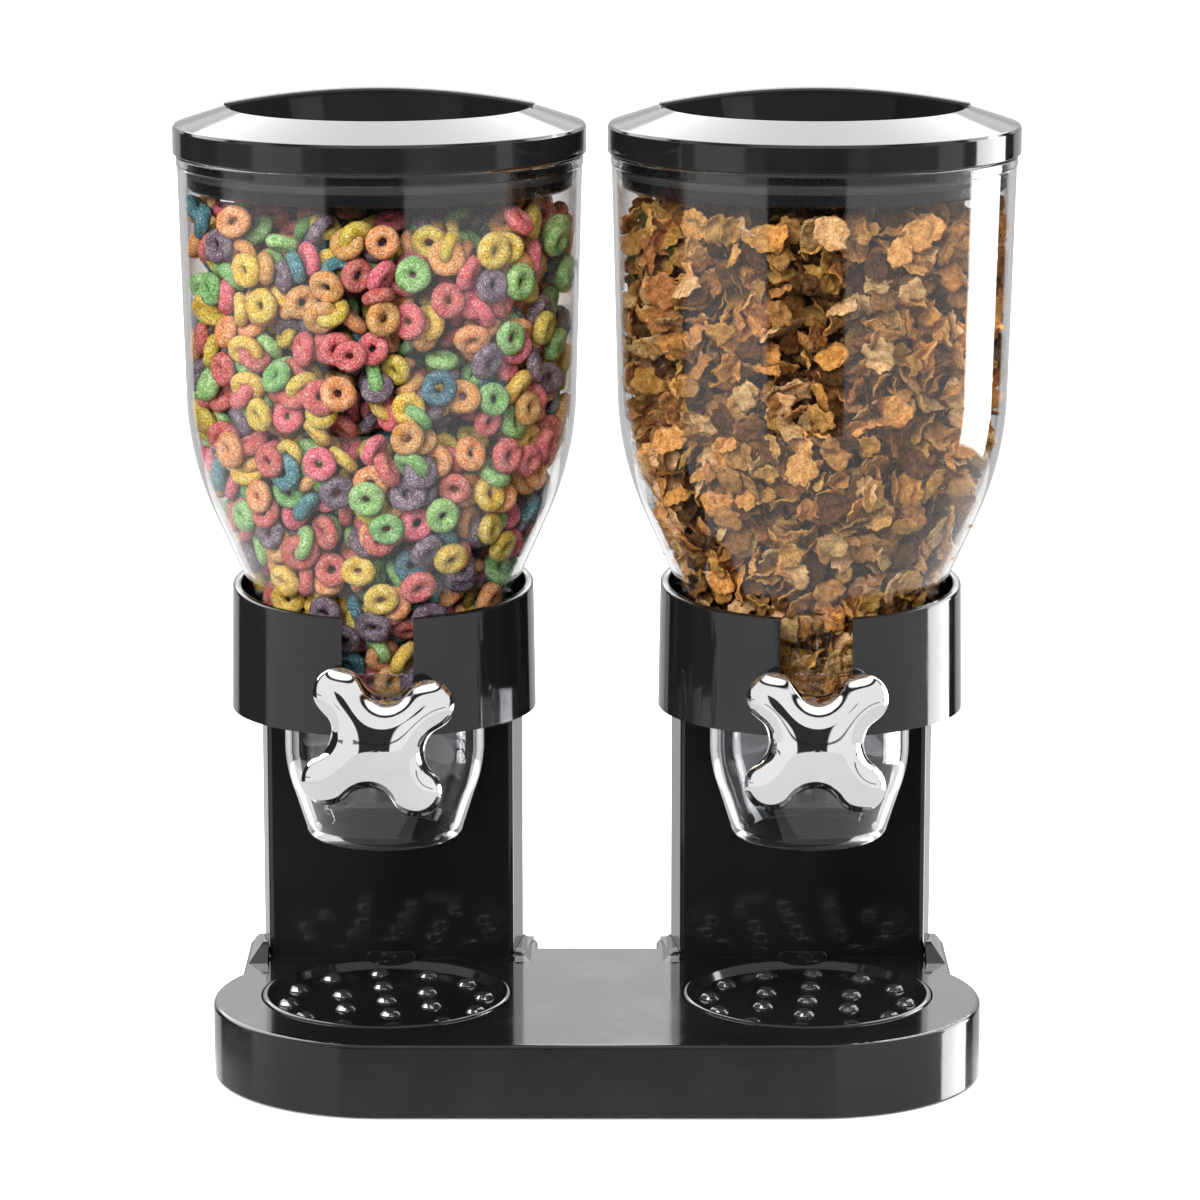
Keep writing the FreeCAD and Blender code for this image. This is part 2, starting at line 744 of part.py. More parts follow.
def make_hopper(side):
    name = f"hopper_{side}"
    wall = S.hopper_wall
    cosine, sine = lean_of(S.cone_top_radius - S.neck_radius, S.cone_top - S.neck_top)
    inner_neck_top = S.neck_top + wall * sine / (cosine + 1)
    shell = turned(f"{name}_shell", [
        (S.neck_radius, S.neck_low), (S.neck_radius, S.neck_top),
        (S.cone_top_radius, S.cone_top, S.shoulder_radius, -1),
        (S.barrel_low_radius, S.barrel_low), (S.barrel_top_radius, S.bead_low - S.bead_ramp),
        (S.bead_radius, S.bead_low), (S.bead_radius, S.bead_high),
        (S.hopper_rim_radius, S.bead_high + S.bead_ramp / 2),
        (S.hopper_rim_radius, S.hopper_rim), (S.hopper_rim_radius - S.rim_wall, S.hopper_rim),
        (S.barrel_low_radius - wall, S.barrel_low, S.shoulder_radius - wall, 1),
        (S.cone_top_radius - wall * cosine, S.cone_top + wall * sine),
        (S.neck_radius - wall, inner_neck_top), (S.neck_radius - wall, S.neck_low)])
    notch = rod(S.boss_radius + S.saddle_gap, S.boss_front, (0, -S.boss_front, S.knob_height), "y")
    keep(name, cut(name, shell, [notch]), (side_x(side), 0, 0))


def make_cup(side):
    name = f"outlet_cup_{side}"
    wall = S.cup_wall
    cosine, sine = lean_of(S.cup_cone_radius - S.cup_corner_radius, S.cup_cone_top - S.cup_corner)
    flange_top = S.neck_low - S.flange_gap
    flange_low = flange_top - S.flange_thick
    shell = turned(f"{name}_shell", [
        (S.cup_low_radius, S.cup_low, S.cup_corner_round, -1), (S.cup_corner_radius, S.cup_corner),
        (S.cup_cone_radius, S.cup_cone_top, S.cup_bend_radius, -1),
        (S.cup_radius, S.cup_bend), (S.cup_radius, flange_low - S.flange_ramp), (S.cup_flange, flange_low),
        (S.cup_flange, flange_top), (S.cup_radius, flange_top), (S.cup_radius, S.cup_top),
        (S.cup_radius - wall, S.cup_top),
        (S.cup_radius - wall, S.cup_bend, S.cup_bend_radius - wall, 1),
        (S.cup_cone_radius - wall * cosine, S.cup_cone_top + wall * sine),
        (S.cup_corner_radius - wall * cosine, S.cup_corner + wall * sine),
        (S.cup_low_radius - wall, S.cup_low + S.lip_chamfer / 2),
        (S.cup_low_radius - wall + S.lip_chamfer, S.cup_low)])
    z = S.knob_height
    front_boss = rod(S.boss_radius, S.boss_front - S.boss_root, (0, -S.boss_front, z), "y")
    rear_boss = rod(S.rear_boss_radius, S.rear_boss_outer - S.rear_boss_inner,
                    (0, S.rear_boss_inner, z), "y")
    inside = rod(S.cup_radius - wall, S.cup_top - S.cup_low, (0, 0, S.cup_low))
    front_net = cut(f"{name}_front_boss", front_boss, [inside])
    solid = fuse(f"{name}_solid", [shell, front_net, rear_boss])
    bores = [rod(S.shaft_radius + S.running_gap, S.boss_front, (0, -S.boss_front - OVERLAP, z), "y"),
             rod(S.journal_radius + S.running_gap, S.journal_depth + OVERLAP,
                 (0, S.rear_boss_inner - OVERLAP, z), "y")]
    keep(name, cut(name, solid, bores), (side_x(side), 0, 0))


# ---- knob, shaft and wheel ------------------------------------------------------------------

def turned_place(thing, side):
    """Place a piece built about its own Y axis on the knob axis, at the knob's angle."""
    thing.Placement = FreeCAD.Placement(
        FreeCAD.Vector(), FreeCAD.Rotation(FreeCAD.Vector(0, 1, 0), KNOB_TURN[side]))
    place(thing, (side_x(side), 0, S.knob_height))


def make_knob(side):
    name = f"knob_{side}"
    reach = SIZES["lobe_centre"] / math.sqrt(2)
    tip = SIZES["lobe_radius"]
    saddle = SIZES["lobe_saddle"]
    # circle on the axis between two lobes that touches both tips and the saddle
    hollow_centre = (2 * reach ** 2 - (saddle - tip) ** 2) / (2 * (reach - saddle + tip))
    hollow = hollow_centre - saddle
    touch = tip / (tip + hollow)
    near = reach + (hollow_centre - reach) * touch
    far = reach * (1 - touch)
    corners = []
    for quarter in range(4):
        turn = FreeCAD.Rotation(FreeCAD.Vector(0, 0, 1), 90 * quarter)
        start = turn.multVec(FreeCAD.Vector(near, far, 0))
        end = turn.multVec(FreeCAD.Vector(far, near, 0))
        corners.append((start.x, start.y, tip, 0))
        corners.append((end.x, end.y, hollow, 1))
    body = new_body(f"{name}_cross")
    sketch = knob_outline(body, corners)
    pad = body.newObject("PartDesign::Pad", f"{name}_pad")
    pad.Profile = sketch
    bind(pad, "Length", S.knob_front - S.knob_back)
    front = -(SIZES["knob_front"] - SIZES["knob_back"])
    round_edges(body, S.knob_edge_round, lambda edge: edge.BoundBox.YMax < front + 0.01)
    place(body, (0, -S.knob_back, 0))
    hub = rod(S.knob_hub_radius, S.knob_back - S.knob_hub_back + OVERLAP,
              (0, -S.knob_back - OVERLAP, 0), "y")
    solid = fuse(f"{name}_solid", [body, hub])
    bore = rod(S.shaft_radius, S.knob_bore_depth + OVERLAP,
               (0, -S.knob_hub_back - S.knob_bore_depth, 0), "y")
    knob = cut(name, solid, [bore])
    turned_place(knob, side)
    keep(name, knob)


def knob_outline(body, corners):
    """Four round lobes joined by four hollows, all tangent."""
    sketch = body.newObject("Sketcher::SketchObject", f"{body.Name}_outline")
    sketch.AttachmentSupport = [(plane_of(body, "XZ_Plane"), "")]
    sketch.MapMode = "FlatFace"
    count = len(corners)
    for index, (x, y, radius, hollow) in enumerate(corners):
        following = corners[(index + 1) % count]
        start, end = FreeCAD.Vector(x, y, 0), FreeCAD.Vector(following[0], following[1], 0)
        middle = (start + end) / 2
        outward = FreeCAD.Vector(middle).normalize()
        half = (end - start).Length / 2
        depth = math.sqrt(radius ** 2 - half ** 2)
        if hollow:
            crown = middle - outward * (radius - depth)
        else:
            crown = middle + outward * (radius + lobe_side(corners, index) * depth)
        sketch.addGeometry(Part.Arc(start, crown, end), False)
    for index in range(count):
        sketch.addConstraint(Sketcher.Constraint("Block", index))
    return sketch


def lobe_side(corners, index):
    """+1 when a lobe's tip arc is more than a half circle, else -1."""
    start, end = corners[index], corners[index + 1]
    chord_mid = math.hypot((start[0] + end[0]) / 2, (start[1] + end[1]) / 2)
    return 1 if SIZES["lobe_centre"] > chord_mid else -1


def make_shaft(side):
    name = f"shaft_{side}"
    half = S.square_side / 2
    tip = S.knob_hub_back + S.shaft_in_knob
    front = S.wheel_half + S.square_reach
    back = S.rear_boss_inner - S.tail_gap
    journal = rod(S.shaft_radius, tip - front, (0, -tip, 0), "y")
    square = box((-half, -front, -half), (half, back, half))
    tail = rod(S.journal_radius, S.tail_length, (0, back, 0), "y")
    shaft = fuse(name, [journal, square, tail])
    turned_place(shaft, side)
    keep(name, shaft)


def make_wheel(side):
    half, bore = S.wheel_half, S.square_side / 2 + S.running_gap
    past = half + OVERLAP
    core = rod(S.hub_radius, (half + S.hub_stand) * 2, (0, -half - S.hub_stand, 0), "y")
    hole = box((-bore, -past, -bore), (bore, past, bore))
    hub = cut(f"wheel_hub_{side}", core, [hole])
    turned_place(hub, side)
    keep(f"wheel_hub_{side}", hub)

    ball = doc.addObject("Part::Sphere", "ball")
    bind(ball, "Radius", S.wheel_ball)
    drum = common("wheel_drum", ball, rod(S.wheel_radius, half * 2, (0, -half, 0), "y"))
    blades = []
    for number in range(VANE_COUNT):
        blade = box((-S.vane_thick / 2, -half, 0), (S.vane_thick / 2, half, S.wheel_radius + OVERLAP))
        holder = group("vane", [blade])
        holder.Placement = FreeCAD.Placement(
            FreeCAD.Vector(), FreeCAD.Rotation(FreeCAD.Vector(0, 1, 0), 360 / VANE_COUNT * number))
        blades.append(holder)
    sleeve = rod(S.sleeve_radius, half * 2, (0, -half, 0), "y")
    trimmed = common("wheel_blades", drum, fuse("vanes", blades))
    bore_tool = rod(S.hub_radius, past * 2, (0, -past, 0), "y")
    wheel = cut(f"wheel_vanes_{side}", fuse("wheel_solid", [trimmed, sleeve]), [bore_tool])
    turned_place(wheel, side)
    keep(f"wheel_vanes_{side}", wheel)


# ---- lids -----------------------------------------------------------------------------------

def make_lid(side):
    """Lid: outer band, sloping crown, sunken round well and a fin across it to grip."""
    name = f"lid_{side}"
    wall, edge = S.lid_wall, S.band_round
    inner = S.lid_radius - wall
    dish = turned(f"{name}_dish", [
        (0, S.well_floor), (S.well_floor_radius, S.well_floor), (S.well_radius, S.lid_crest - S.crest_round),
        (S.lid_crest_radius, S.lid_crest), (S.lid_radius - edge, S.lid_band_top + edge * 0.4, edge, 1),
        (S.lid_radius, S.lid_band_top - edge / 2), (S.lid_radius, S.lid_low), (inner, S.lid_low),
        (inner, S.lid_band_top - wall * 0.6), (S.lid_crest_radius + S.crest_round, S.lid_crest - wall),
        (S.well_floor_radius + wall, S.well_floor - wall), (0, S.well_floor - wall)])
    end = S.grip_end_half
    sag = S.grip_top - S.grip_end
    arch = (end * end + sag * sag) / (2 * sag)
    root_half, root_low, end_low = S.well_floor_radius, S.well_floor - OVERLAP, S.lid_crest - S.crest_round
    grip = extruded(f"{name}_grip", [
        (end, S.grip_end, arch, -1), (-end, S.grip_end), (-end, end_low), (-root_half, root_low),
        (root_half, root_low), (end, end_low)], S.grip_half_thick * 2, role="XZ_Plane", midplane=True)
    keep(name, fuse(name, [dish, grip]), (side_x(side), 0, 0))


def make_plug(side):
    """Inner half of the lid: a shallow drum that fills the hopper's mouth and carries the seal."""
    name = f"lid_plug_{side}"
    top = S.well_floor - S.lid_wall - S.plug_gap
    inner = S.plug_radius - S.plug_wall
    floor = S.plug_low + S.plug_floor
    edge = S.plug_chamfer
    body = turned(name, [
        (0, S.plug_low), (S.plug_radius - edge, S.plug_low), (S.plug_radius, S.plug_low + edge),
        (S.plug_radius, S.seal_low), (S.seal_groove_radius, S.seal_low),
        (S.seal_groove_radius, S.seal_high), (S.plug_radius, S.seal_high), (S.plug_radius, top),
        (inner, top), (inner, floor), (S.plug_post_radius, floor), (S.plug_post_radius, top), (0, top)])
    keep(name, body, (side_x(side), 0, 0))


def make_seal(side):
    name = f"lid_seal_{side}"
    low, high = S.seal_low + S.seal_gap, S.seal_high - S.seal_gap
    inner, outer = S.seal_groove_radius + S.seal_gap, S.plug_radius + S.seal_bulge
    body = turned(name, [
        (inner, low), (outer, low), (S.seal_radius, (low + high) / 2), (outer, high), (inner, high)])
    keep(name, body, (side_x(side), 0, 0))


# ---- assembly -------------------------------------------------------------------------------

def make_all():
    make_base()
    make_base_plate()
    make_feet()
    make_base_screws()
    makers = (make_tray, make_column, make_column_cover, make_column_screws, make_collar,
              make_collar_screws, make_hopper, make_cup, make_knob, make_shaft, make_wheel,
              make_lid, make_plug, make_seal)
    for side in SIDES:
        for maker in makers:
            maker(side)


def check_and_export():
    doc.recompute()
    for thing in doc.Objects:
        if "Invalid" in thing.State or "Error" in thing.State:
            raise RuntimeError(f"{thing.Name} failed: {thing.State}")
    for name, thing in parts.items():
        shape = thing.Shape
        if shape.isNull() or not shape.isValid() or not shape.Solids:
            raise RuntimeError(f"{name} has no valid solid")
    os.makedirs("parts", exist_ok=True)
    for name, thing in parts.items():
        thing.Shape.exportStep(f"parts/{name}.step")
        bounds = thing.Shape.BoundBox
        print(f"{name}: {len(thing.Shape.Solids)} solid(s), {thing.Shape.Volume / 1000:.1f} cm3, "
              f"X {bounds.XMin:.1f}..{bounds.XMax:.1f} Y {bounds.YMin:.1f}..{bounds.YMax:.1f} "
              f"Z {bounds.ZMin:.1f}..{bounds.ZMax:.1f}")


make_all()
check_and_export()
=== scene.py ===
import json
import math
import random
from itertools import product

import bmesh
import bpy
import numpy as np
from mathutils import Matrix, Vector, noise


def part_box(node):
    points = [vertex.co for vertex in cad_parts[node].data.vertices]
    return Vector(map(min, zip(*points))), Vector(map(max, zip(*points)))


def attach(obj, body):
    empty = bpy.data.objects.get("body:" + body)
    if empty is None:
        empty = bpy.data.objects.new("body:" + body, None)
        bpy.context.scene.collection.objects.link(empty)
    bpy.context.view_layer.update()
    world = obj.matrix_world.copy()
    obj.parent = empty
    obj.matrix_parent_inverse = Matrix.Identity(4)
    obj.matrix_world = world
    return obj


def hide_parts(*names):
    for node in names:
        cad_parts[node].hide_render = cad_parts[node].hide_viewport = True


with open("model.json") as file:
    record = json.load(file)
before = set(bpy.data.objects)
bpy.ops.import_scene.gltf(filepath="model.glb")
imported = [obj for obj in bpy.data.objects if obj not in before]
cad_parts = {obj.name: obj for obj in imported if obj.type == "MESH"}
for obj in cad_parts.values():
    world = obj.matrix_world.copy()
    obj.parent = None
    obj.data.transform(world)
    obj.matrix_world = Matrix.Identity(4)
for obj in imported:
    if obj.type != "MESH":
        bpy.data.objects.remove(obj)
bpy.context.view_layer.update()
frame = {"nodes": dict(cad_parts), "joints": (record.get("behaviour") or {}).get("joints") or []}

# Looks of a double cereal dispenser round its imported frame. Metres; +Z is up and -Y is towards the user.

MM = 0.001
SIDES = ("left", "right")
JOINTS = {joint["name"]: joint for joint in frame["joints"]}
KNOB_AXIS = {side: Vector(JOINTS[f"knob_turn_{side}"]["pos_m"]) for side in SIDES}
TURN_STEPS = 192  # facets round a turned piece


# ---- shader helpers ----

class Tree:
    """Short ways to add and join nodes in one node tree."""

    def __init__(self, tree):
        self.nodes = tree.nodes
        self.links = tree.links

    def add(self, kind, settings=None, **sockets):
        node = self.nodes.new(kind)
        for name, value in (settings or {}).items():
            setattr(node, name, value)
        for name, value in sockets.items():
            self.feed(node.inputs[name.replace("_", " ")], value)
        return node

    def feed(self, socket, value):
        if isinstance(value, bpy.types.NodeSocket):
            self.links.new(value, socket)
        else:
            socket.default_value = value

    def math(self, operation, first, second=0.0):
        node = self.nodes.new("ShaderNodeMath")
        node.operation = operation
        self.feed(node.inputs[0], first)
        self.feed(node.inputs[1], second)
        return node.outputs[0]

    def ramp(self, value, low, high, to_low=0.0, to_high=1.0):
        """Smooth change from to_low to to_high as value goes from low to high."""
        node = self.add("ShaderNodeMapRange", {"interpolation_type": "SMOOTHSTEP"})
        for index, item in enumerate((value, low, high, to_low, to_high)):
            self.feed(node.inputs[index], item)
        return node.outputs[0]

    def window(self, value, low, high, soft):
        """1 between low and high and 0 outside, with soft edges."""
        rise = self.ramp(value, low - soft, low + soft)
        fall = self.ramp(value, high - soft, high + soft, 1.0, 0.0)
        return self.math("MULTIPLY", rise, fall)

    def blend(self, factor, first, second):
        node = self.add("ShaderNodeMix", {"data_type": "RGBA"})
        self.feed(node.inputs[0], factor)
        for socket, value in ((node.inputs[6], first), (node.inputs[7], second)):
            if isinstance(value, bpy.types.NodeSocket):
                self.links.new(value, socket)
            else:
                socket.default_value = (*value, 1.0)
        return node.outputs[2]


class Finish(Tree):
    """A Principled material that is being given its procedural detail. Noise scales are per metre."""

    def __init__(self, name, **sockets):
        self.material = bpy.data.materials.new(name)
        self.material.use_nodes = True
        super().__init__(self.material.node_tree)
        self.shader = self.nodes["Principled BSDF"]
        self.place = self.add("ShaderNodeTexCoord").outputs["Object"]
        for socket, value in sockets.items():
            self.set(socket.replace("_", " "), value)

    def noise(self, scale, detail=3.0, roughness=0.5, stretch=None):
        place = self.place
        if stretch:
            place = self.add("ShaderNodeMapping", Vector=place, Scale=stretch).outputs[0]
        node = self.add("ShaderNodeTexNoise", Vector=place, Scale=scale, Detail=detail,
                        Roughness=roughness)
        return node.outputs["Fac"]

    def set(self, socket, value):
        self.feed(self.shader.inputs[socket], value)

    def mottle(self, pattern, first, second, low=0.3, high=0.7):
        """Base colour that wanders between two colours with the pattern."""
        self.set("Base Color", self.blend(self.ramp(pattern, low, high), first, second))

    def sheen(self, pattern, smooth, rough, low=0.3, high=0.7):
        """Roughness that wanders between two values with the pattern."""
        self.set("Roughness", self.ramp(pattern, low, high, smooth, rough))

    def bump(self, height, distance, strength=1.0):
        before = self.shader.inputs["Normal"].links
        node = self.add("ShaderNodeBump", Height=height, Distance=distance, Strength=strength)
        if before:
            self.links.new(before[0].from_socket, node.inputs["Normal"])
        self.links.new(node.outputs[0], self.shader.inputs["Normal"])

    def vary(self, base, hues, values):
        """Base colour that differs a little from one loose part of the mesh to the next."""
        each = self.add("ShaderNodeNewGeometry").outputs["Random Per Island"]
        shift = self.add("ShaderNodeHueSaturation", Color=base)
        for socket, span in (("Hue", hues), ("Value", values)):
            self.feed(shift.inputs[socket], self.ramp(each, 0.0, 1.0, *span))
        self.set("Base Color", shift.outputs[0])

    def see_through(self, share, colour):
        """Mix in a share of plain see-through of the given colour."""
        passed = self.add("ShaderNodeBsdfTransparent")
        passed.inputs["Color"].default_value = (*colour, 1.0)
        both = self.add("ShaderNodeMixShader")
        self.feed(both.inputs[0], share)
        self.links.new(self.shader.outputs[0], both.inputs[1])
        self.links.new(passed.outputs[0], both.inputs[2])
        self.links.new(both.outputs[0], self.nodes["Material Output"].inputs["Surface"])


# ---- materials ----

WHITE = (1.0, 1.0, 1.0)


def gloss_black(name, dark, light, polish):
    """Moulded glossy black plastic: faint flow marks, a soft orange peel, a few duller smears."""
    look = Finish(name, IOR=1.52)
    flow = look.noise(14, 3, 0.55, (1.0, 1.0, 0.35))
    look.mottle(flow, dark, light, 0.35, 0.65)
    smear = look.noise(38, 4, 0.6, (1.0, 1.0, 0.5))
    fine = look.noise(900, 2, 0.5)
    rough = look.ramp(smear, 0.45, 0.75, polish, polish + 0.07)
    look.set("Roughness", look.math("ADD", rough, look.math("MULTIPLY", fine, 0.02)))
    look.bump(look.noise(160, 2, 0.4), 0.00004, 0.35)
    return look.material


def grained(name, tone, grain, first, second, smooth, rough, depth, strength, **sockets):
    """Plain material: tone is the noise of its colour, grain that of its roughness and bump. Without
    tone the grain colours it too."""
    look = Finish(name, **sockets)
    fine = look.noise(*grain)
    if tone:
        look.mottle(look.noise(*tone), first, second)
    else:
        look.set("Base Color", look.blend(fine, first, second))
    look.sheen(fine, smooth, rough)
    look.bump(fine, depth, strength)
    return look.material


def satin_black():
    """Spark-eroded black plastic of the hidden and inner pieces."""
    return grained("inner_black_look", (30, 3), (1500, 3, 0.6), (0.010, 0.010, 0.011),
                   (0.022, 0.022, 0.024), 0.42, 0.6, 0.00008, 0.5, IOR=1.5)


def clear_plastic(name, tint, through, painted_edge_shade, bending):
    """Polished clear plastic. The edge shade argument is how far painted shade darkens its colour where it is
    seen edge on, and through is the colour of the lamps' light that reaches what is inside."""
    look = Finish(name, IOR=bending)
    look.set("Transmission Weight", 1.0)
    cloud = look.noise(11, 3, 0.5)
    body = look.blend(look.ramp(cloud, 0.3, 0.7), tint, tuple(c * 0.985 for c in tint))
    # Painted shade: the colour turns dark grey where the plastic is seen edge on, standing in for the shade
    # that its bending and reflections give there.
    grazing = look.add("ShaderNodeLayerWeight", Blend=0.5).outputs["Facing"]
    shade = look.ramp(grazing, 0.60, 0.92, 0.0, painted_edge_shade)
    look.set("Base Color", look.blend(shade, body, (0.10, 0.105, 0.115)))
    smear = look.noise(26, 4, 0.65, (1.0, 1.0, 0.4))
    look.sheen(smear, 0.004, 0.05, 0.55, 0.8)
    look.bump(look.noise(42, 1, 0.3), 0.00005, 0.25)
    look.see_through(look.add("ShaderNodeLightPath").outputs["Is Shadow Ray"], through)
    return look.material


def chrome(name):
    """Bright chrome on moulded plastic, with hairline polishing marks and a few fingerprints."""
    look = Finish(name, Metallic=1.0)
    look.mottle(look.noise(60, 3), (0.86, 0.87, 0.885), (0.93, 0.935, 0.94))
    fingerprints = look.noise(120, 5, 0.7)
    look.sheen(fingerprints, 0.035, 0.11, 0.5, 0.8)
    look.bump(look.noise(2200, 2, 0.5, (1.0, 0.2, 1.0)), 0.000006, 0.25)
    return look.material


def silicone(name, tone, open_share):
    """Soft silicone; open_share is how much of what is behind it shows."""
    look = Finish(name, IOR=1.41)
    cloud = look.noise(90, 3)
    look.mottle(cloud, tone, tuple(c * 0.86 for c in tone))
    look.sheen(look.noise(700, 2), 0.32, 0.5)
    look.bump(look.noise(800, 2), 0.00005, 0.4)
    if open_share:
        look.see_through(look.ramp(cloud, 0.2, 0.8, open_share + 0.03, open_share - 0.03), WHITE)
    return look.material


def plug_black():
    """Dark inner drum of the lid, moulded smooth but not polished."""
    return grained("plug_black_look", (24, 4, 0.6), (1200, 3, 0.6), (0.004, 0.004, 0.0045),
                   (0.008, 0.008, 0.009), 0.24, 0.34, 0.00004, 0.4, IOR=1.45, Specular_IOR_Level=0.25)


def foot_rubber():
    return grained("foot_rubber_look", None, (1100, 4, 0.6), (0.018, 0.018, 0.018),
                   (0.045, 0.044, 0.042), 0.62, 0.85, 0.0001, 0.6, IOR=1.5)


def screw_steel():
    """Plated steel with fine turning marks."""
    return grained("screw_steel_look", None, (1800, 3, 0.6, (1.0, 1.0, 0.15)), (0.50, 0.51, 0.50),
                   (0.70, 0.71, 0.72), 0.22, 0.42, 0.00003, 0.4, Metallic=1.0)


def shaft_plastic():
    look = Finish("shaft_plastic_look", IOR=1.48)
    cloud = look.noise(110, 3)
    look.set("Base Color", look.blend(cloud, (0.60, 0.60, 0.57), (0.72, 0.72, 0.69)))
    look.sheen(look.noise(600, 2), 0.3, 0.46)
    look.bump(look.noise(500, 2), 0.00004, 0.4)
    return look.material


def loop_cereal(name, colour, glaze):
    """Puffed, coloured ring cereal: porous crumb with painted shade in its pores, under a thin pale sugar
    glaze.
    """
    look = Finish(name, IOR=1.45, Specular_IOR_Level=0.16)
    grains = look.noise(1400, 4, 0.65)
    patches = look.noise(330, 3, 0.6)
    base = look.blend(look.ramp(patches, 0.35, 0.7), colour, glaze)
    # Painted shade: darker where the fine grain bump is low, in the pores.
    painted_pore_shade = look.ramp(grains, 0.39, 0.59, 0.9, 0.0)
    base = look.blend(painted_pore_shade, base, tuple(c * 0.42 for c in colour))
    sugar = look.noise(1250, 3, 0.7)
    base = look.blend(look.ramp(sugar, 0.57, 0.67, 0.0, 0.55), base, (0.95, 0.93, 0.89))
    look.vary(base, (0.488, 0.512), (1.08, 0.86))
    look.sheen(patches, 0.72, 0.5)
    look.bump(look.noise(620, 4, 0.7), 0.0009, 0.8)
    look.bump(grains, 0.0004, 0.7)
    return look.material


def bran_flake(name, pale, deep):
    """Toasted bran flake: blistered, with dark specks, painted shade in the hollows of its crumb, and pale
    crumb powder that also serves as painted highlight on the raised crumbs.
    """
    look = Finish(name, IOR=1.45, Specular_IOR_Level=0.12)
    blister = look.noise(420, 4, 0.65)
    bran = look.noise(1600, 3, 0.7)
    base = look.blend(look.ramp(blister, 0.32, 0.68), deep, pale)
    base = look.blend(look.ramp(bran, 0.56, 0.68, 0.0, 0.6), base, tuple(c * 0.3 for c in deep))
    crumb = look.noise(1050, 4, 0.75)
    # Painted shade: darker in the hollows of the crumb bump.
    base = look.blend(look.ramp(crumb, 0.36, 0.52, 0.55, 0.0), base, tuple(c * 0.45 for c in deep))
    # Pale crumb powder on the raised crumbs of the bump, partly real powder and partly painted highlight.
    dust_and_highlight = tuple(min(c * 1.25 + 0.06, 1.0) for c in pale)
    base = look.blend(look.ramp(crumb, 0.58, 0.72, 0.0, 0.7), base, dust_and_highlight)
    look.vary(base, (0.493, 0.508), (1.4, 0.85))
    look.sheen(bran, 0.5, 0.75)
    look.bump(blister, 0.0016, 0.9)
    look.bump(crumb, 0.0008, 0.9)
    return look.material


# ---- mesh helpers ----

def added(name, data):
    """New object of the data, in the scene."""
    piece = bpy.data.objects.new(name, data)
    bpy.context.scene.collection.objects.link(piece)
    return piece


def finished(name, form, *materials, weighted=False):
    """Turn a bmesh into a smooth-shaded object."""
    bmesh.ops.remove_doubles(form, verts=form.verts, dist=1e-6)
    bmesh.ops.recalc_face_normals(form, faces=form.faces)
    mesh = bpy.data.meshes.new(name)
    form.to_mesh(mesh)
    form.free()
    mesh.shade_smooth()
    for material in materials:
        mesh.materials.append(material)
    piece = added(name, mesh)
    return even(piece) if weighted else piece


def arc(start, end, radius, side, steps=24):
    """Points of an arc from start to end, bulging left (+1) or right (-1) of that direction."""
    start, end = Vector(start), Vector(end)
    chord = end - start
    normal = Vector((-chord.y, chord.x)).normalized()
    centre = (start + end) / 2 - normal * side * math.sqrt(radius ** 2 - (chord.length / 2) ** 2)
    first = math.atan2(start.y - centre.y, start.x - centre.x)
    sweep = math.atan2(end.y - centre.y, end.x - centre.x) - first
    if side * sweep > 0:
        sweep -= side * math.tau
    return [(centre.x + radius * math.cos(first + sweep * step / steps),
             centre.y + radius * math.sin(first + sweep * step / steps)) for step in range(steps + 1)]


def rounded(corners, steps=5):
    """Closed outline through (across, up) corners; a third value rounds that corner by its radius."""
    points = []
    count = len(corners)
    for index, corner in enumerate(corners):
        here = Vector(corner[:2])
        radius = corner[2] if len(corner) > 2 else 0
        if not radius:
            points.append(tuple(here))
            continue
        before = (Vector(corners[index - 1][:2]) - here).normalized()
        after = (Vector(corners[(index + 1) % count][:2]) - here).normalized()
        half = before.angle(after) / 2
        reach = radius / math.tan(half)
        centre = here + (before + after).normalized() * radius / math.sin(half)
        start, end = here + before * reach - centre, here + after * reach - centre
        sweep = start.angle_signed(end)
        for step in range(steps + 1):
            turn = Matrix.Rotation(-sweep * step / steps, 2)
            points.append(tuple(centre + turn @ start))
    return points


def turn_profile(form, profile, centre, steps=TURN_STEPS):
    """Revolve a closed (radius, height) outline round the vertical line through centre."""
    rings = []
    for radius, height in profile:
        if radius < 1e-6:
            rings.append([form.verts.new((centre[0], centre[1], height))])
            continue
        rings.append([form.verts.new((centre[0] + radius * math.cos(math.tau * step / steps),
                                      centre[1] + radius * math.sin(math.tau * step / steps), height))
                      for step in range(steps)])
    for index, ring in enumerate(rings):
        following = rings[(index + 1) % len(rings)]
        for step in range(steps):
            after = (step + 1) % steps
            if len(ring) == 1 and len(following) == 1:
                break
            if len(ring) == 1:
                form.faces.new((ring[0], following[step], following[after]))
            elif len(following) == 1:
                form.faces.new((ring[step], following[0], ring[after]))
            else:
                form.faces.new((ring[step], following[step], following[after], ring[after]))
    return form


def bridge(form, low, high):
    """Quads between two equally long rings of vertices."""
    for step in range(len(low)):
        after = (step + 1) % len(low)
        form.faces.new((low[step], low[after], high[after], high[step]))


def loft(form, rings):
    """Skin a list of equally long point rings and close both ends."""
    made = [[form.verts.new(point) for point in ring] for ring in rings]
    for low, high in zip(made, made[1:]):
        bridge(form, low, high)
    form.faces.new(made[0])
    form.faces.new(made[-1])
    return form


def bar(side, radius, front, back):
    """Round bar along the knob's axis, from front to back."""
    axis = KNOB_AXIS[side]
    ring = [Vector((axis.x + radius * math.cos(a), 0, axis.z + radius * math.sin(a)))
            for a in np.linspace(0, math.tau, 64, endpoint=False)]
    form = loft(bmesh.new(), [[point + Vector((0, y, 0)) for point in ring] for y in (front, back)])
    return finished(f"bar_{side}", form)


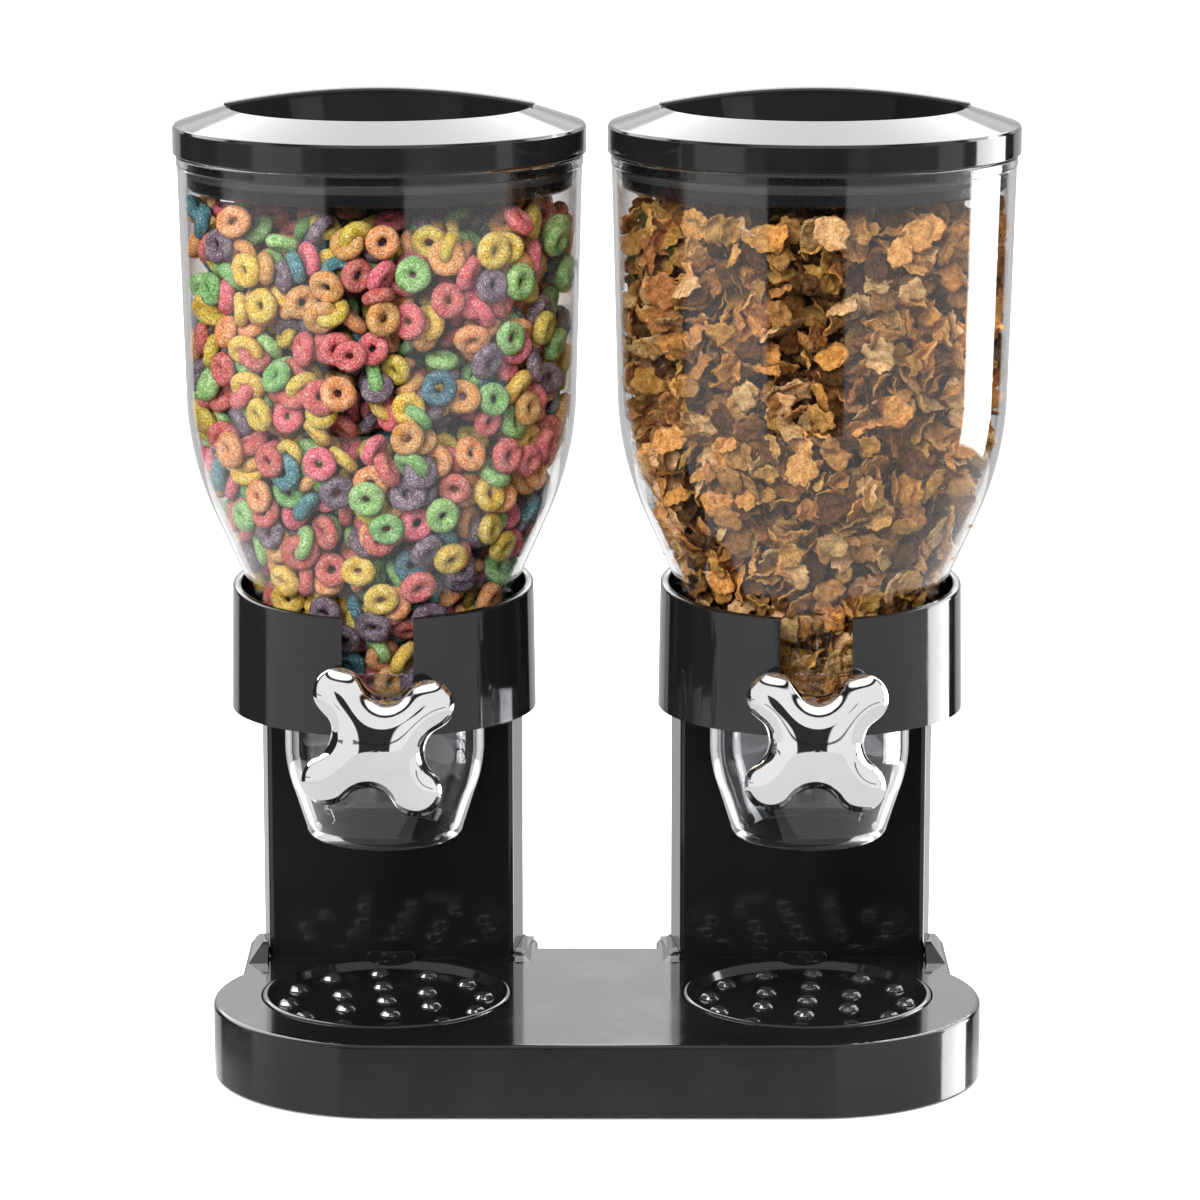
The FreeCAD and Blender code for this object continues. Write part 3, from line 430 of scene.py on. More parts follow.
def merged(piece, other, operation):
    """Apply a boolean of other to piece, and drop other."""
    step = piece.modifiers.new(operation.lower(), "BOOLEAN")
    step.operation, step.object, step.solver = operation, other, "EXACT"
    bpy.context.view_layer.update()
    solid = piece.evaluated_get(bpy.context.evaluated_depsgraph_get())
    mesh = bpy.data.meshes.new_from_object(solid)
    mesh.name = piece.name
    piece.modifiers.clear()
    piece.data = mesh
    mesh.shade_smooth()
    bpy.data.objects.remove(other)


def even(piece):
    """Shade by face area, so that flat faces stay flat beside their rounded edges."""
    piece.modifiers.new("even_shading", "WEIGHTED_NORMAL").keep_sharp = True
    return piece


def stand_for(piece, slot, body, *nodes):
    """Put a piece in the place of CAD nodes and on their body; its slot argument is not used."""
    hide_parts(*nodes)
    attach(piece, body)
    return piece


# ---- clear hoppers and cups ----

HOPPER_WALL = 1.3 * MM  # thinner than the solid it stands for, so that its rim stays slim
NECK_RADIUS = 42.0 * MM
NECK_RISE = 21.2 * MM  # straight part of the neck
CONE_RISE = 52.8 * MM
SHOULDER_RISE = 45.0 * MM
CONE_TOP_RADIUS = 65.7 * MM
BARREL_RADIUS = 76.0 * MM
SHOULDER_CURVE = 119.4 * MM
SHOULDER_MID_RADIUS = 72.7 * MM
BARREL_TOP_RADIUS = 78.4 * MM
RIM_RADIUS = 77.2 * MM
NOTCH_RADIUS = 12.7 * MM  # cut in the neck for the cup's front boss


def hopper_levels(side):
    """Heights of the hopper's foot, neck top, cone top, barrel foot and rim."""
    low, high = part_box(f"hopper_{side}")
    neck_top = low.z + NECK_RISE
    cone_top = neck_top + CONE_RISE
    return low.z, neck_top, cone_top, cone_top + SHOULDER_RISE, high.z


def make_hopper(side, material):
    """Neck, cone, shoulder and barrel, with a bead under the lid."""
    low, neck_top, cone_top, barrel_low, rim = hopper_levels(side)
    x, wall = KNOB_AXIS[side].x, HOPPER_WALL
    bead_radius = BARREL_TOP_RADIUS + 0.4 * MM
    bead_low, bead_high = rim - 12.8 * MM, rim - 9.6 * MM
    outside = [(NECK_RADIUS, low, 0.5 * MM), (NECK_RADIUS, neck_top, 3 * MM)]
    outside += arc((CONE_TOP_RADIUS, cone_top), (BARREL_RADIUS, barrel_low), SHOULDER_CURVE, -1)
    outside += [(BARREL_TOP_RADIUS, bead_low - 0.8 * MM, 0.5 * MM), (bead_radius, bead_low, 0.6 * MM),
                (bead_radius, bead_high, 0.7 * MM), (RIM_RADIUS, bead_high + 0.6 * MM, 0.6 * MM),
                (RIM_RADIUS, rim, 0.5 * MM)]
    slope = math.atan2(CONE_TOP_RADIUS - NECK_RADIUS, CONE_RISE)
    inside = [(RIM_RADIUS - wall + 0.6 * MM, rim, 0.5 * MM)]
    inside += arc((BARREL_RADIUS - wall, barrel_low),
                  (CONE_TOP_RADIUS - wall * math.cos(slope), cone_top + wall * math.sin(slope)),
                  SHOULDER_CURVE - wall, 1)
    inside += [(NECK_RADIUS - wall, neck_top + 0.6 * MM, 3 * MM), (NECK_RADIUS - wall, low, 0.5 * MM)]
    form = turn_profile(bmesh.new(), rounded(outside + inside), (x, 0))
    shell = finished(f"hopper_shell_{side}", form, material)
    merged(shell, bar(side, NOTCH_RADIUS, -60 * MM, -20 * MM), "DIFFERENCE")
    return stand_for(even(shell), "clear_plastic", f"canister_{side}", f"hopper_{side}")


CUP_RADIUS = 39.4 * MM
CUP_WALL = 3.0 * MM
CUP_FOOT_RADIUS = 27.6 * MM
CUP_BELLY_RADIUS = 35.9 * MM
CUP_FLANGE_RADIUS = 41.8 * MM
CUP_IN_NECK = 16 * MM  # how far the cup reaches up inside the hopper's neck
FRONT_BOSS_RADIUS = 12.4 * MM
BACK_BOSS_RADIUS = 9 * MM
FRONT_BORE_RADIUS = 5.55 * MM
BACK_BORE_RADIUS = 4.05 * MM


def make_cup(side, material):
    """Tapering cup with the bosses that carry the knob's shaft."""
    low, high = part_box(f"outlet_cup_{side}")
    x, z, wall = KNOB_AXIS[side].x, low.z, CUP_WALL
    corner_top, belly, bend, flange = z + 5.1 * MM, z + 18.9 * MM, z + 36.5 * MM, z + 57.4 * MM
    outside = arc((CUP_FOOT_RADIUS, z), (31.6 * MM, corner_top), 6.0 * MM, -1, 8)
    outside += arc((CUP_BELLY_RADIUS, belly), (CUP_RADIUS, bend), 55 * MM, -1, 14)
    outside += [(CUP_RADIUS, flange - 4.3 * MM, 0.5 * MM), (CUP_FLANGE_RADIUS, flange - 3.7 * MM, 0.5 * MM),
                (CUP_FLANGE_RADIUS, flange, 0.5 * MM), (CUP_RADIUS, flange, 0.4 * MM),
                (CUP_RADIUS, high.z, 0.8 * MM)]
    inside = [(CUP_RADIUS - wall, high.z, 0.8 * MM)]
    inside += arc((CUP_RADIUS - wall, bend), (CUP_BELLY_RADIUS - wall, belly + 0.6 * MM), 52 * MM, 1, 14)
    inside += [(31.2 * MM - wall, corner_top + 0.6 * MM, 2.4 * MM), (24.6 * MM, z, 0.9 * MM)]
    cup = finished(f"outlet_cup_shell_{side}", turn_profile(bmesh.new(), rounded(outside + inside), (x, 0)),
                   material)
    for radius, front, back in ((FRONT_BOSS_RADIUS, low.y, -37.5 * MM),
                                (BACK_BOSS_RADIUS, 28 * MM, 38.4 * MM)):
        merged(cup, bar(side, radius, front, back), "UNION")
    for radius, front, back in ((FRONT_BORE_RADIUS, low.y - MM, -20 * MM),
                                (BACK_BORE_RADIUS, 27 * MM, 35.4 * MM)):
        merged(cup, bar(side, radius, front, back), "DIFFERENCE")
    return stand_for(even(cup), "clear_plastic", f"canister_{side}", f"outlet_cup_{side}")


# ---- knobs ----

LOBE_OUT = 24.3 * MM  # centre of a lobe's tip from the knob's axis
LOBE_RADIUS = 10.0 * MM
SADDLE = 18.2 * MM  # outline between two lobes, from the axis
KNOB_TURN = {"left": math.radians(8.0), "right": math.radians(1.0)}
KNOB_EDGE = 1.6 * MM  # straight part of the knob's rim
KNOB_BACK = 62.4 * MM  # from the hopper's axis to the knob's back face
KNOB_HUB_RADIUS = 10.4 * MM
KNOB_HUB_BACK = 61.2 * MM
DOME_RINGS = 44
DOME_ROUND, DOME_FULL = 0.72, 0.28  # shares of the root of the film and of the film itself in the dome
EDGE_POWER = 18  # the higher, the later the dome falls to its edge


def knob_outline(steps=256):
    """Points of a four-lobed outline; lobes lie at 45, 135, 225 and 315 degrees, and arcs that are
    hollow seen from outside join them."""
    reach = LOBE_OUT / math.sqrt(2)
    hollow_out = (2 * reach ** 2 - (SADDLE - LOBE_RADIUS) ** 2) / (2 * (reach - SADDLE + LOBE_RADIUS))
    hollow = hollow_out - SADDLE
    lobe_share = LOBE_RADIUS / (LOBE_RADIUS + hollow)
    touch = math.atan2(reach * (1 - lobe_share), reach + (hollow_out - reach) * lobe_share)
    points = []
    for step in range(steps):
        angle = math.tau * step / steps
        quarter = round(angle / (math.pi / 2)) * math.pi / 2
        off = angle - quarter
        on_hollow = hollow_out * math.cos(off) - math.sqrt(
            max(hollow ** 2 - (hollow_out * math.sin(off)) ** 2, 0))
        lobe = math.floor(angle / (math.pi / 2)) * math.pi / 2 + math.pi / 4
        aside = LOBE_OUT * math.sin(angle - lobe)
        on_lobe = LOBE_OUT * math.cos(angle - lobe) + math.sqrt(max(LOBE_RADIUS ** 2 - aside ** 2, 0))
        radius = on_hollow if abs(off) < touch else on_lobe
        points.append(Vector((radius * math.cos(angle), radius * math.sin(angle))))
    return points


def membrane(outline, cells=120, passes=2600):
    """Height from 0 to 1 of a film blown up over the outline, as a function of (x, z)."""
    reach = max(point.length for point in outline) * 1.04
    angles = np.array([math.atan2(point.y, point.x) % math.tau for point in outline])
    radii = np.array([point.length for point in outline])
    order = np.argsort(angles)
    line = np.linspace(-reach, reach, cells)
    across, up = np.meshgrid(line, line, indexing="ij")
    limit = np.interp(np.arctan2(up, across) % math.tau, angles[order], radii[order],
                      period=math.tau)
    inside = np.hypot(across, up) < limit
    film = np.zeros_like(across)
    for _ in range(passes):
        film[1:-1, 1:-1] = 0.25 * (film[2:, 1:-1] + film[:-2, 1:-1] + film[1:-1, 2:] + film[1:-1, :-2]) + 1.0
        film *= inside
    film /= film.max()

    def height(x, z):
        i, j = (x + reach) / (2 * reach) * (cells - 1), (z + reach) / (2 * reach) * (cells - 1)
        i0, j0 = min(int(i), cells - 2), min(int(j), cells - 2)
        di, dj = i - i0, j - j0
        low = film[i0, j0] * (1 - dj) + film[i0, j0 + 1] * dj
        high = film[i0 + 1, j0] * (1 - dj) + film[i0 + 1, j0 + 1] * dj
        return float(low * (1 - di) + high * di)
    return height


def make_knob(side, material):
    """Pillow-shaped chrome cross, thickest on its axis and rounded to its edge all the way round."""
    axis, back = KNOB_AXIS[side], KNOB_BACK
    front = -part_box(f"knob_{side}")[0].y
    outline = knob_outline()
    film = membrane(outline)
    rise = front - back - KNOB_EDGE
    form = bmesh.new()
    levels = []
    for ring in range(DOME_RINGS + 1):
        share = math.sin(math.pi / 2 * ring / DOME_RINGS)  # rings crowd together near the outline
        fall = math.sqrt(max(1 - share ** EDGE_POWER, 0))
        row = []
        for point in outline if ring else outline[:1]:
            spot = point * share
            blown = film(spot.x, spot.y)
            dome = DOME_ROUND * math.sqrt(max(blown, 0)) + DOME_FULL * blown
            row.append(form.verts.new((spot.x, -(back + KNOB_EDGE + rise * dome * fall), spot.y)))
        levels.append(row)
    for inner, outer in zip(levels[1:], levels[2:]):
        bridge(form, inner, outer)
    (middle,), first = levels[:2]
    for step in range(len(first)):
        form.faces.new((middle, first[step], first[(step + 1) % len(first)]))
    edge = levels[-1]
    for depth, inset in ((0.9 * MM, 0.0), (0.3 * MM, 0.3 * MM), (0.0, 1.0 * MM)):
        ring = [form.verts.new((v.co.x * (1 - inset / v.co.xz.length), -(back + depth),
                                v.co.z * (1 - inset / v.co.xz.length))) for v in levels[-1]]
        bridge(form, edge, ring)
        edge = ring
    form.faces.new(edge)
    form.transform(Matrix.Translation((axis.x, 0, axis.z)) @ Matrix.Rotation(KNOB_TURN[side], 4, "Y"))
    knob = finished(f"knob_cross_{side}", form, material, weighted=True)
    merged(knob, bar(side, KNOB_HUB_RADIUS, -back - MM, -KNOB_HUB_BACK), "UNION")
    return stand_for(even(knob), "chrome_plating", f"dial_{side}", f"knob_{side}")


# ---- lids ----

LID_WALL = 2.2 * MM
BAND_RISE = 10.7 * MM  # upright band round the lid
CREST_RISE = 17.7 * MM  # edge of the well in the lid's middle
WELL_RISE = 4.3 * MM  # floor of the well
FIN_HALF_LENGTH = 60.2 * MM
FIN_HALF_THICKNESS = 3.2 * MM
# Across the fin: share of half its thickness, and how far its outline is drawn in there, in mm.
FIN_SECTION = ((-1, 1.6), (-0.86, 0.62), (-0.5, 0.0), (0.5, 0.0), (0.86, 0.62), (1, 1.6))


def make_lid(side, material):
    """Cone-topped cap with a round well, and a fin across the well to grip it by."""
    low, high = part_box(f"lid_{side}")
    x, radius, wall = KNOB_AXIS[side].x, high.y, LID_WALL
    band_top, crest, well = low.z + BAND_RISE, low.z + CREST_RISE, low.z + WELL_RISE
    profile = [(0, well), (53 * MM, well, 1.6 * MM), (56.6 * MM, crest - 0.6 * MM, 0.9 * MM)]
    profile += [(58.6 * MM, crest, 1.2 * MM), (radius - 0.7 * MM, band_top + 0.2 * MM, 0.8 * MM),
                (radius, band_top - 0.9 * MM, 0.5 * MM), (radius, low.z, 0.5 * MM),
                (radius - wall, low.z, 0.5 * MM), (radius - wall, band_top - 1.6 * MM, 0.8 * MM),
                (60 * MM, crest - 2.6 * MM, 0.8 * MM), (55.1 * MM, well - wall, 0.8 * MM), (0, well - wall)]
    lid = finished(f"lid_cap_{side}", turn_profile(bmesh.new(), rounded(profile), (x, 0)), material)
    half, end, top = FIN_HALF_LENGTH, high.z - 6.0 * MM, high.z
    arch = (half ** 2 + (top - end) ** 2) / (2 * (top - end))
    upper = arc((half, end), (-half, end), arch, -1, 40)
    lower = [(-half, crest - 1.6 * MM), (-53.5 * MM, well - MM), (53.5 * MM, well - MM),
             (half, crest - 1.6 * MM)]
    rings = []
    for share, inset in FIN_SECTION:
        rings.append([Vector((x + across * (1 - inset * MM / half), FIN_HALF_THICKNESS * share,
                              up - (inset * MM if up > crest else 0))) for across, up in upper + lower])
    merged(lid, finished(f"fin_{side}", loft(bmesh.new(), rings), material), "UNION")
    return stand_for(even(lid), "lid_black", f"lid_{side}_body", f"lid_{side}")


# ---- trays ----

DOT_RINGS = ((1, 0.0), (6, 19.6 * MM), (12, 39.2 * MM))  # dots and radius of each ring
DOT_RADIUS = 4.2 * MM
DOT_RISE = 2.4 * MM
TRAY_TURN = {"left": math.radians(-6.6), "right": math.radians(6.0)}
TRAY_RIM_RISE = 6.4 * MM
TRAY_FLOOR_RISE = 2.4 * MM
TAB_HALF_WIDTH = 10 * MM
TAB_HALF_THICKNESS = 0.9 * MM


def make_tray(side, material):
    """Dish with a finger tab at its back, and its raised dots as a piece of their own; returns the dots."""
    low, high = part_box(f"tray_{side}")
    x, y = KNOB_AXIS[side].x, (low.y + high.y) / 2
    radius, rim, floor = high.x - x, low.z + TRAY_RIM_RISE, low.z + TRAY_FLOOR_RISE
    profile = [(0, low.z), (radius, low.z, 0.8 * MM), (radius, rim, 1.3 * MM),
               (radius - 2.6 * MM, rim, 1.0 * MM), (radius - 4.6 * MM, floor, 1.2 * MM), (0, floor)]
    form = turn_profile(bmesh.new(), rounded(profile), (x, y))
    half, thick, top = TAB_HALF_WIDTH, TAB_HALF_THICKNESS, high.z
    corners = rounded([(-half, floor - MM), (half, floor - MM), (half, top, 2.5 * MM),
                       (-half, top, 2.5 * MM)])
    back = y + radius - 2.9 * MM
    loft(form, [[Vector((x + across * (1 - inset / half), back + thick * share, up - inset * (up > floor)))
                 for across, up in corners]
                for share, inset in ((-1, 0.4 * MM), (-0.6, 0.0), (0.6, 0.0), (1, 0.4 * MM))])
    tray = finished(f"tray_dish_{side}", form, material, weighted=True)
    stand_for(tray, "tray_black", f"tray_{side}_body", f"tray_{side}")
    dots = bmesh.new()
    for count, ring in DOT_RINGS:
        for number in range(count):
            angle = math.tau * number / count + TRAY_TURN[side]
            dot(dots, (x + ring * math.sin(angle), y + ring * math.cos(angle)), floor)
    raised = finished(f"tray_dots_{side}", dots, material, weighted=True)
    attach(raised, f"tray_{side}_body")
    return raised


def dot(form, spot, floor):
    """Raised dot: a dome with a shallow dish in its top."""
    radius, top = DOT_RADIUS, floor + DOT_RISE
    profile = rounded([(0, floor - 0.6 * MM), (radius, floor - 0.6 * MM),
                       (radius, floor + 0.3 * MM, 0.3 * MM), (radius - 2.0 * MM, top, 2.6 * MM),
                       (radius - 3.2 * MM, top - 0.35 * MM, 0.9 * MM), (0, top - 0.5 * MM)], 6)
    turn_profile(form, profile, spot, 32)


# ---- cereal ----

def neighbours(points, owner, reach):
    """Pairs of points of different owners closer than reach, and how far apart they are."""
    cells = np.floor(points / reach).astype(np.int64)
    cells -= cells.min(0) - 1
    span = cells.max(0) + 2
    key = (cells[:, 0] * span[1] + cells[:, 1]) * span[2] + cells[:, 2]
    order = np.argsort(key, kind="stable")
    ranked = key[order]
    first, second = [], []
    for shift in product((-1, 0, 1), repeat=3):
        if shift < (0, 0, 0):
            continue
        wanted = key + (shift[0] * span[1] + shift[1]) * span[2] + shift[2]
        start = np.searchsorted(ranked, wanted, "left")
        count = np.searchsorted(ranked, wanted, "right") - start
        left = np.repeat(np.arange(len(points)), count)
        offset = np.arange(count.sum()) - np.repeat(np.cumsum(count) - count, count)
        right = order[np.repeat(start, count) + offset]
        keep = (left < right) if shift == (0, 0, 0) else (left != right)
        first.append(left[keep])
        second.append(right[keep])
    first, second = np.concatenate(first), np.concatenate(second)
    apart = np.linalg.norm(points[first] - points[second], axis=1)
    near = (owner[first] != owner[second]) & (apart < reach)
    return first[near], second[near], apart[near]


def inner_radius(side, height):
    """Free radius inside the hopper, or inside the cup below the hopper's neck."""
    low, neck_top, cone_top, barrel_low, rim = hopper_levels(side)
    levels = [low, low + CUP_IN_NECK, low + 16.5 * MM, neck_top, cone_top,
              (cone_top + barrel_low) / 2, barrel_low, rim]
    outside = (NECK_RADIUS, NECK_RADIUS, CONE_TOP_RADIUS, SHOULDER_MID_RADIUS, BARREL_RADIUS,
               BARREL_TOP_RADIUS)
    radii = [CUP_RADIUS - CUP_WALL] * 2 + [radius - HOPPER_WALL for radius in outside]
    return np.interp(height, levels, radii)


SINKING_ROUNDS = 22  # later rounds only push apart, so that more of them don't pack lower
SAG = 0.25 * MM  # sinking in one round
CROWDING = 0.35  # how much each touch damps a bead's move
OVERSHOOT = 1.6
WHEEL_ROOM_RADIUS = 36.6 * MM  # kept free for the portioning wheel
WHEEL_ROOM_HALF = 26.8 * MM
LEANING = 2.2  # pull towards lying flat against the wall


def settled(side, count, beads, bead, seed, rounds, wall_layer):
    """Push stiff pieces, each a set of beads, apart until they fill the hopper. Those in the layer by
    the wall start out lying flat against it. Returns centres, turns and depths from the wall."""
    random_state = np.random.RandomState(seed)
    low, top = hopper_levels(side)[0] + 5 * MM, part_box(f"lid_plug_{side}")[0].z - bead
    heights = np.linspace(low, top, 400)
    weights = np.cumsum(inner_radius(side, heights) ** 2)
    z = np.interp(random_state.rand(count), weights / weights[-1], heights)
    r = (inner_radius(side, z) - 3 * MM) * np.sqrt(random_state.rand(count))
    a = random_state.rand(count) * math.tau
    centres = np.stack([r * np.cos(a), r * np.sin(a), z], 1)
    frames = random_state.randn(count, 3, 3)
    by_wall = (inner_radius(side, z) - r < wall_layer)[:, None]
    outward = np.stack([np.cos(a), np.sin(a), 0 * a], 1)
    frames[:, :, 0] = np.where(by_wall, outward * LEANING + frames[:, :, 0] * 0.6, frames[:, :, 0])
    turns = np.linalg.qr(frames)[0][:, :, ::-1]
    turns *= np.sign(np.linalg.det(turns))[:, None, None]
    owner = np.repeat(np.arange(count), len(beads))
    wheel_z = KNOB_AXIS[side].z
    for step in range(rounds):
        points = (np.einsum("nij,kj->nki", turns, beads) + centres[:, None]).reshape(-1, 3)
        points[:, 2] -= SAG if step < SINKING_ROUNDS else 0.0
        one, two, apart = neighbours(points, owner, 2 * bead)
        away = (points[one] - points[two]) / np.maximum(apart, 1e-6)[:, None]
        push = away * ((2 * bead - apart) * 0.5)[:, None]
        total = len(points)
        moved = np.stack([np.bincount(one, p, total) - np.bincount(two, p, total) for p in push.T], 1)
        touches = np.bincount(one, minlength=total) + np.bincount(two, minlength=total)
        points += moved / (1 + CROWDING * touches)[:, None] * OVERSHOOT
        depth_side = WHEEL_ROOM_HALF + bead - np.abs(points[:, 1])
        depth_round = WHEEL_ROOM_RADIUS + bead - np.hypot(points[:, 0], points[:, 2] - wheel_z)
        inside = (depth_side > 0) & (depth_round > 0)
        by_side = inside & (depth_side < depth_round) & (points[:, 2] < wheel_z + 30 * MM)
        by_round = inside & ~by_side
        points[by_side, 1] += (np.sign(points[:, 1]) * depth_side)[by_side]
        points[by_round, 2] += depth_round[by_round]
        points[:, 2] = np.clip(points[:, 2], low + bead, top)
        limit = inner_radius(side, points[:, 2] - 0.3 * bead) - bead * 1.02
        radius = np.hypot(points[:, 0], points[:, 1])
        points[:, :2] *= np.minimum(limit / np.maximum(radius, 1e-9), 1.0)[:, None]
        shaped = points.reshape(count, len(beads), 3)
        centres = shaped.mean(1)
        spread = np.einsum("nki,kj->nij", shaped - centres[:, None], beads)
        u, _, v = np.linalg.svd(spread + np.eye(3) * 1e-12)
        flip = np.ones((count, 3))
        flip[:, 2] = np.sign(np.linalg.det(u @ v))
        turns = (u * flip[:, None]) @ v
    depth = inner_radius(side, centres[:, 2]) - np.hypot(centres[:, 0], centres[:, 1])
    centres[:, 0] += KNOB_AXIS[side].x
    return centres, turns, depth


LOOP_RADIUS = 4.4 * MM  # of the ring's middle line


def ring_shape(seed, across, around):
    """Lumpy puffed ring with an oval, partly closed hole; returns points and quads."""
    draw = random.Random(seed)
    major, minor = LOOP_RADIUS, 2.68 * MM * draw.uniform(0.94, 1.05)
    oval, shut = draw.uniform(0.9, 1.0), draw.uniform(0.0, 0.6 * MM)
    points, quads = [], []
    for i in range(across):
        a = math.tau * i / across
        for j in range(around):
            b = math.tau * j / around
            lump = 1 + 0.15 * noise.noise((seed * 7.1 + 2.1 * math.cos(a), 2.1 * math.sin(a),
                                           1.4 * math.cos(b)))
            lump += 0.07 * noise.noise((seed * 3.3 + 5.0 * math.cos(a), 5.0 * math.sin(a),
                                        3.0 * math.sin(b)))
            r = major - shut * (math.cos(b) < 0) * -math.cos(b) + minor * lump * math.cos(b)
            points.append((r * math.cos(a), r * math.sin(a) * oval, minor * lump * math.sin(b)))
            quads.append((i * around + j, (i + 1) % across * around + j,
                          (i + 1) % across * around + (j + 1) % around, i * around + (j + 1) % around))
    return np.array(points), np.array(quads)


def flake_shape(seed, cells):
    """Crumpled flake with a ragged edge, on a square grid mapped to a disc; returns points and quads."""
    draw = random.Random(seed)
    size, thick = draw.uniform(4.9, 7.8) * MM, 0.4 * MM
    curl, slim = draw.uniform(8, 18) * MM, draw.uniform(0.7, 0.98)
    points, quads = [], []
    side = cells + 1
    for layer in (1, -1):
        for i in range(side):
            for j in range(side):
                u, v = 2 * i / cells - 1, 2 * j / cells - 1
                x, y = u * math.sqrt(1 - v * v / 2), v * math.sqrt(1 - u * u / 2)
                a = math.atan2(y, x)
                ragged = 1 + 0.30 * noise.noise((1.2 * math.cos(a), 1.2 * math.sin(a), seed * 3.7))
                ragged += 0.24 * noise.noise((3.6 * math.cos(a), 3.6 * math.sin(a), seed * 5.3))
                x, y = x * size * ragged, y * size * ragged * slim
                fold = 1.9 * MM * noise.noise((x / (4.2 * MM), y / (4.2 * MM), seed * 1.9))
                crinkle = 1.2 * MM * noise.noise((x / (1.7 * MM), y / (1.7 * MM), seed * 2.3))
                edge = 0.3 if max(abs(u), abs(v)) > 0.999 else 1.0
                points.append((x, y, x * x / (2 * curl) + fold + crinkle + layer * thick * edge))
    top = [(i * side + j, (i + 1) * side + j, (i + 1) * side + j + 1, i * side + j + 1)
           for i in range(cells) for j in range(cells)]
    under = side * side
    quads = top + [tuple(under + corner for corner in reversed(quad)) for quad in top]
    rim = list(range(cells)) + [i * side + cells for i in range(cells)]
    rim += [cells * side + cells - j for j in range(cells)] + [(cells - i) * side for i in range(cells)]
    for here, following in zip(rim, rim[1:] + rim[:1]):
        quads.append((here, following, under + following, under + here))
    return np.array(points), np.array(quads)


def scattered(name, shapes, picks, centres, turns, sizes, material):
    """One mesh of many copies of a few shapes."""
    points, quads, start = [], [], 0
    for pick, centre, turn, size in zip(picks, centres, turns, sizes):
        shape, faces = shapes[pick]
        points.append(shape * size @ turn.T + centre)
        quads.append(faces + start)
        start += len(shape)
    mesh = bpy.data.meshes.new(name)
    points, quads = np.concatenate(points), np.concatenate(quads)
    mesh.vertices.add(len(points))
    mesh.vertices.foreach_set("co", points.astype(np.float32).ravel())
    mesh.loops.add(quads.size)
    mesh.loops.foreach_set("vertex_index", quads.astype(np.int32).ravel())
    mesh.polygons.add(len(quads))
    mesh.polygons.foreach_set("loop_start", np.arange(0, quads.size, 4, dtype=np.int32))
    mesh.update()
    mesh.validate()
    mesh.shade_smooth()
    mesh.materials.append(material)
    return added(name, mesh)


LOOP_COLOURS = {
    "pink": ((0.72, 0.12, 0.13), (0.84, 0.30, 0.28)),
    "orange": ((0.80, 0.33, 0.09), (0.90, 0.55, 0.28)),
    "yellow": ((0.78, 0.50, 0.05), (0.92, 0.74, 0.25)),
    "green": ((0.24, 0.50, 0.13), (0.50, 0.74, 0.36)),
    "teal": ((0.06, 0.19, 0.22), (0.20, 0.38, 0.42)),
    "mauve": ((0.17, 0.11, 0.15), (0.38, 0.30, 0.35)),
}
LOOP_SHARES = (0.25, 0.20, 0.16, 0.18, 0.08, 0.13)
FLAKE_TONES = {
    "golden": ((0.78, 0.43, 0.14), (0.46, 0.20, 0.045)),
    "honey": ((0.72, 0.37, 0.10), (0.40, 0.16, 0.03)),
    "toasted": ((0.56, 0.28, 0.095), (0.29, 0.115, 0.026)),
    "tan": ((0.82, 0.53, 0.26), (0.52, 0.27, 0.09)),
    "russet": ((0.44, 0.20, 0.065), (0.20, 0.075, 0.018)),
    "dark": ((0.17, 0.075, 0.026), (0.045, 0.018, 0.006)),
}
FLAKE_SHARES = (0.23, 0.19, 0.18, 0.17, 0.11, 0.12)

FULL_ROUNDS, QUICK_ROUNDS = 90, 40
OUT_OF_SIGHT = 22 * MM  # pieces deeper than this hardly show and get the coarse shapes
LOOP_COUNT = 2050
LOOP_BEAD = 2.6 * MM
LOOP_WALL_LAYER = 11 * MM
FLAKE_COUNT = 3900
FLAKE_BEAD = 1.6 * MM
FLAKE_BEAD_RING = 4.3 * MM


def pour(side, beads, bead, count, wall_layer, shapes, kinds, shares, look, label, seed):
    """Fill one hopper and make one piece for each colour. Fine and coarse shapes take turns in shapes."""
    rounds = FULL_ROUNDS
    centres, turns, depth = settled(side, count, beads, bead, seed, rounds, wall_layer)
    random_state = np.random.RandomState(seed + 1)
    colour = random_state.choice(len(kinds), count, p=shares)
    shape = random_state.randint(0, len(shapes) // 2, count) * 2 + (depth > OUT_OF_SIGHT)
    size = random_state.uniform(0.93, 1.04, count)
    for index, (kind, (first, second)) in enumerate(kinds.items()):
        chosen = colour == index
        material = look(f"{label}_{kind}_look", first, second)
        piece = scattered(f"{label}_{kind}", shapes, shape[chosen], centres[chosen], turns[chosen],
                          size[chosen], material)
        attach(piece, f"canister_{side}")


def pour_loops():
    """Ring cereal on the left; eight beads stand for a ring."""
    angles = np.arange(8) / 8 * math.tau
    beads = np.stack([LOOP_RADIUS * np.cos(angles), LOOP_RADIUS * np.sin(angles), 0 * angles], 1)
    shapes = []
    for seed in range(10):
        shapes += [ring_shape(seed, 22, 10), ring_shape(seed, 10, 5)]
    pour("left", beads, LOOP_BEAD, LOOP_COUNT, LOOP_WALL_LAYER, shapes, LOOP_COLOURS, LOOP_SHARES,
         loop_cereal, "cereal_loops", 11)


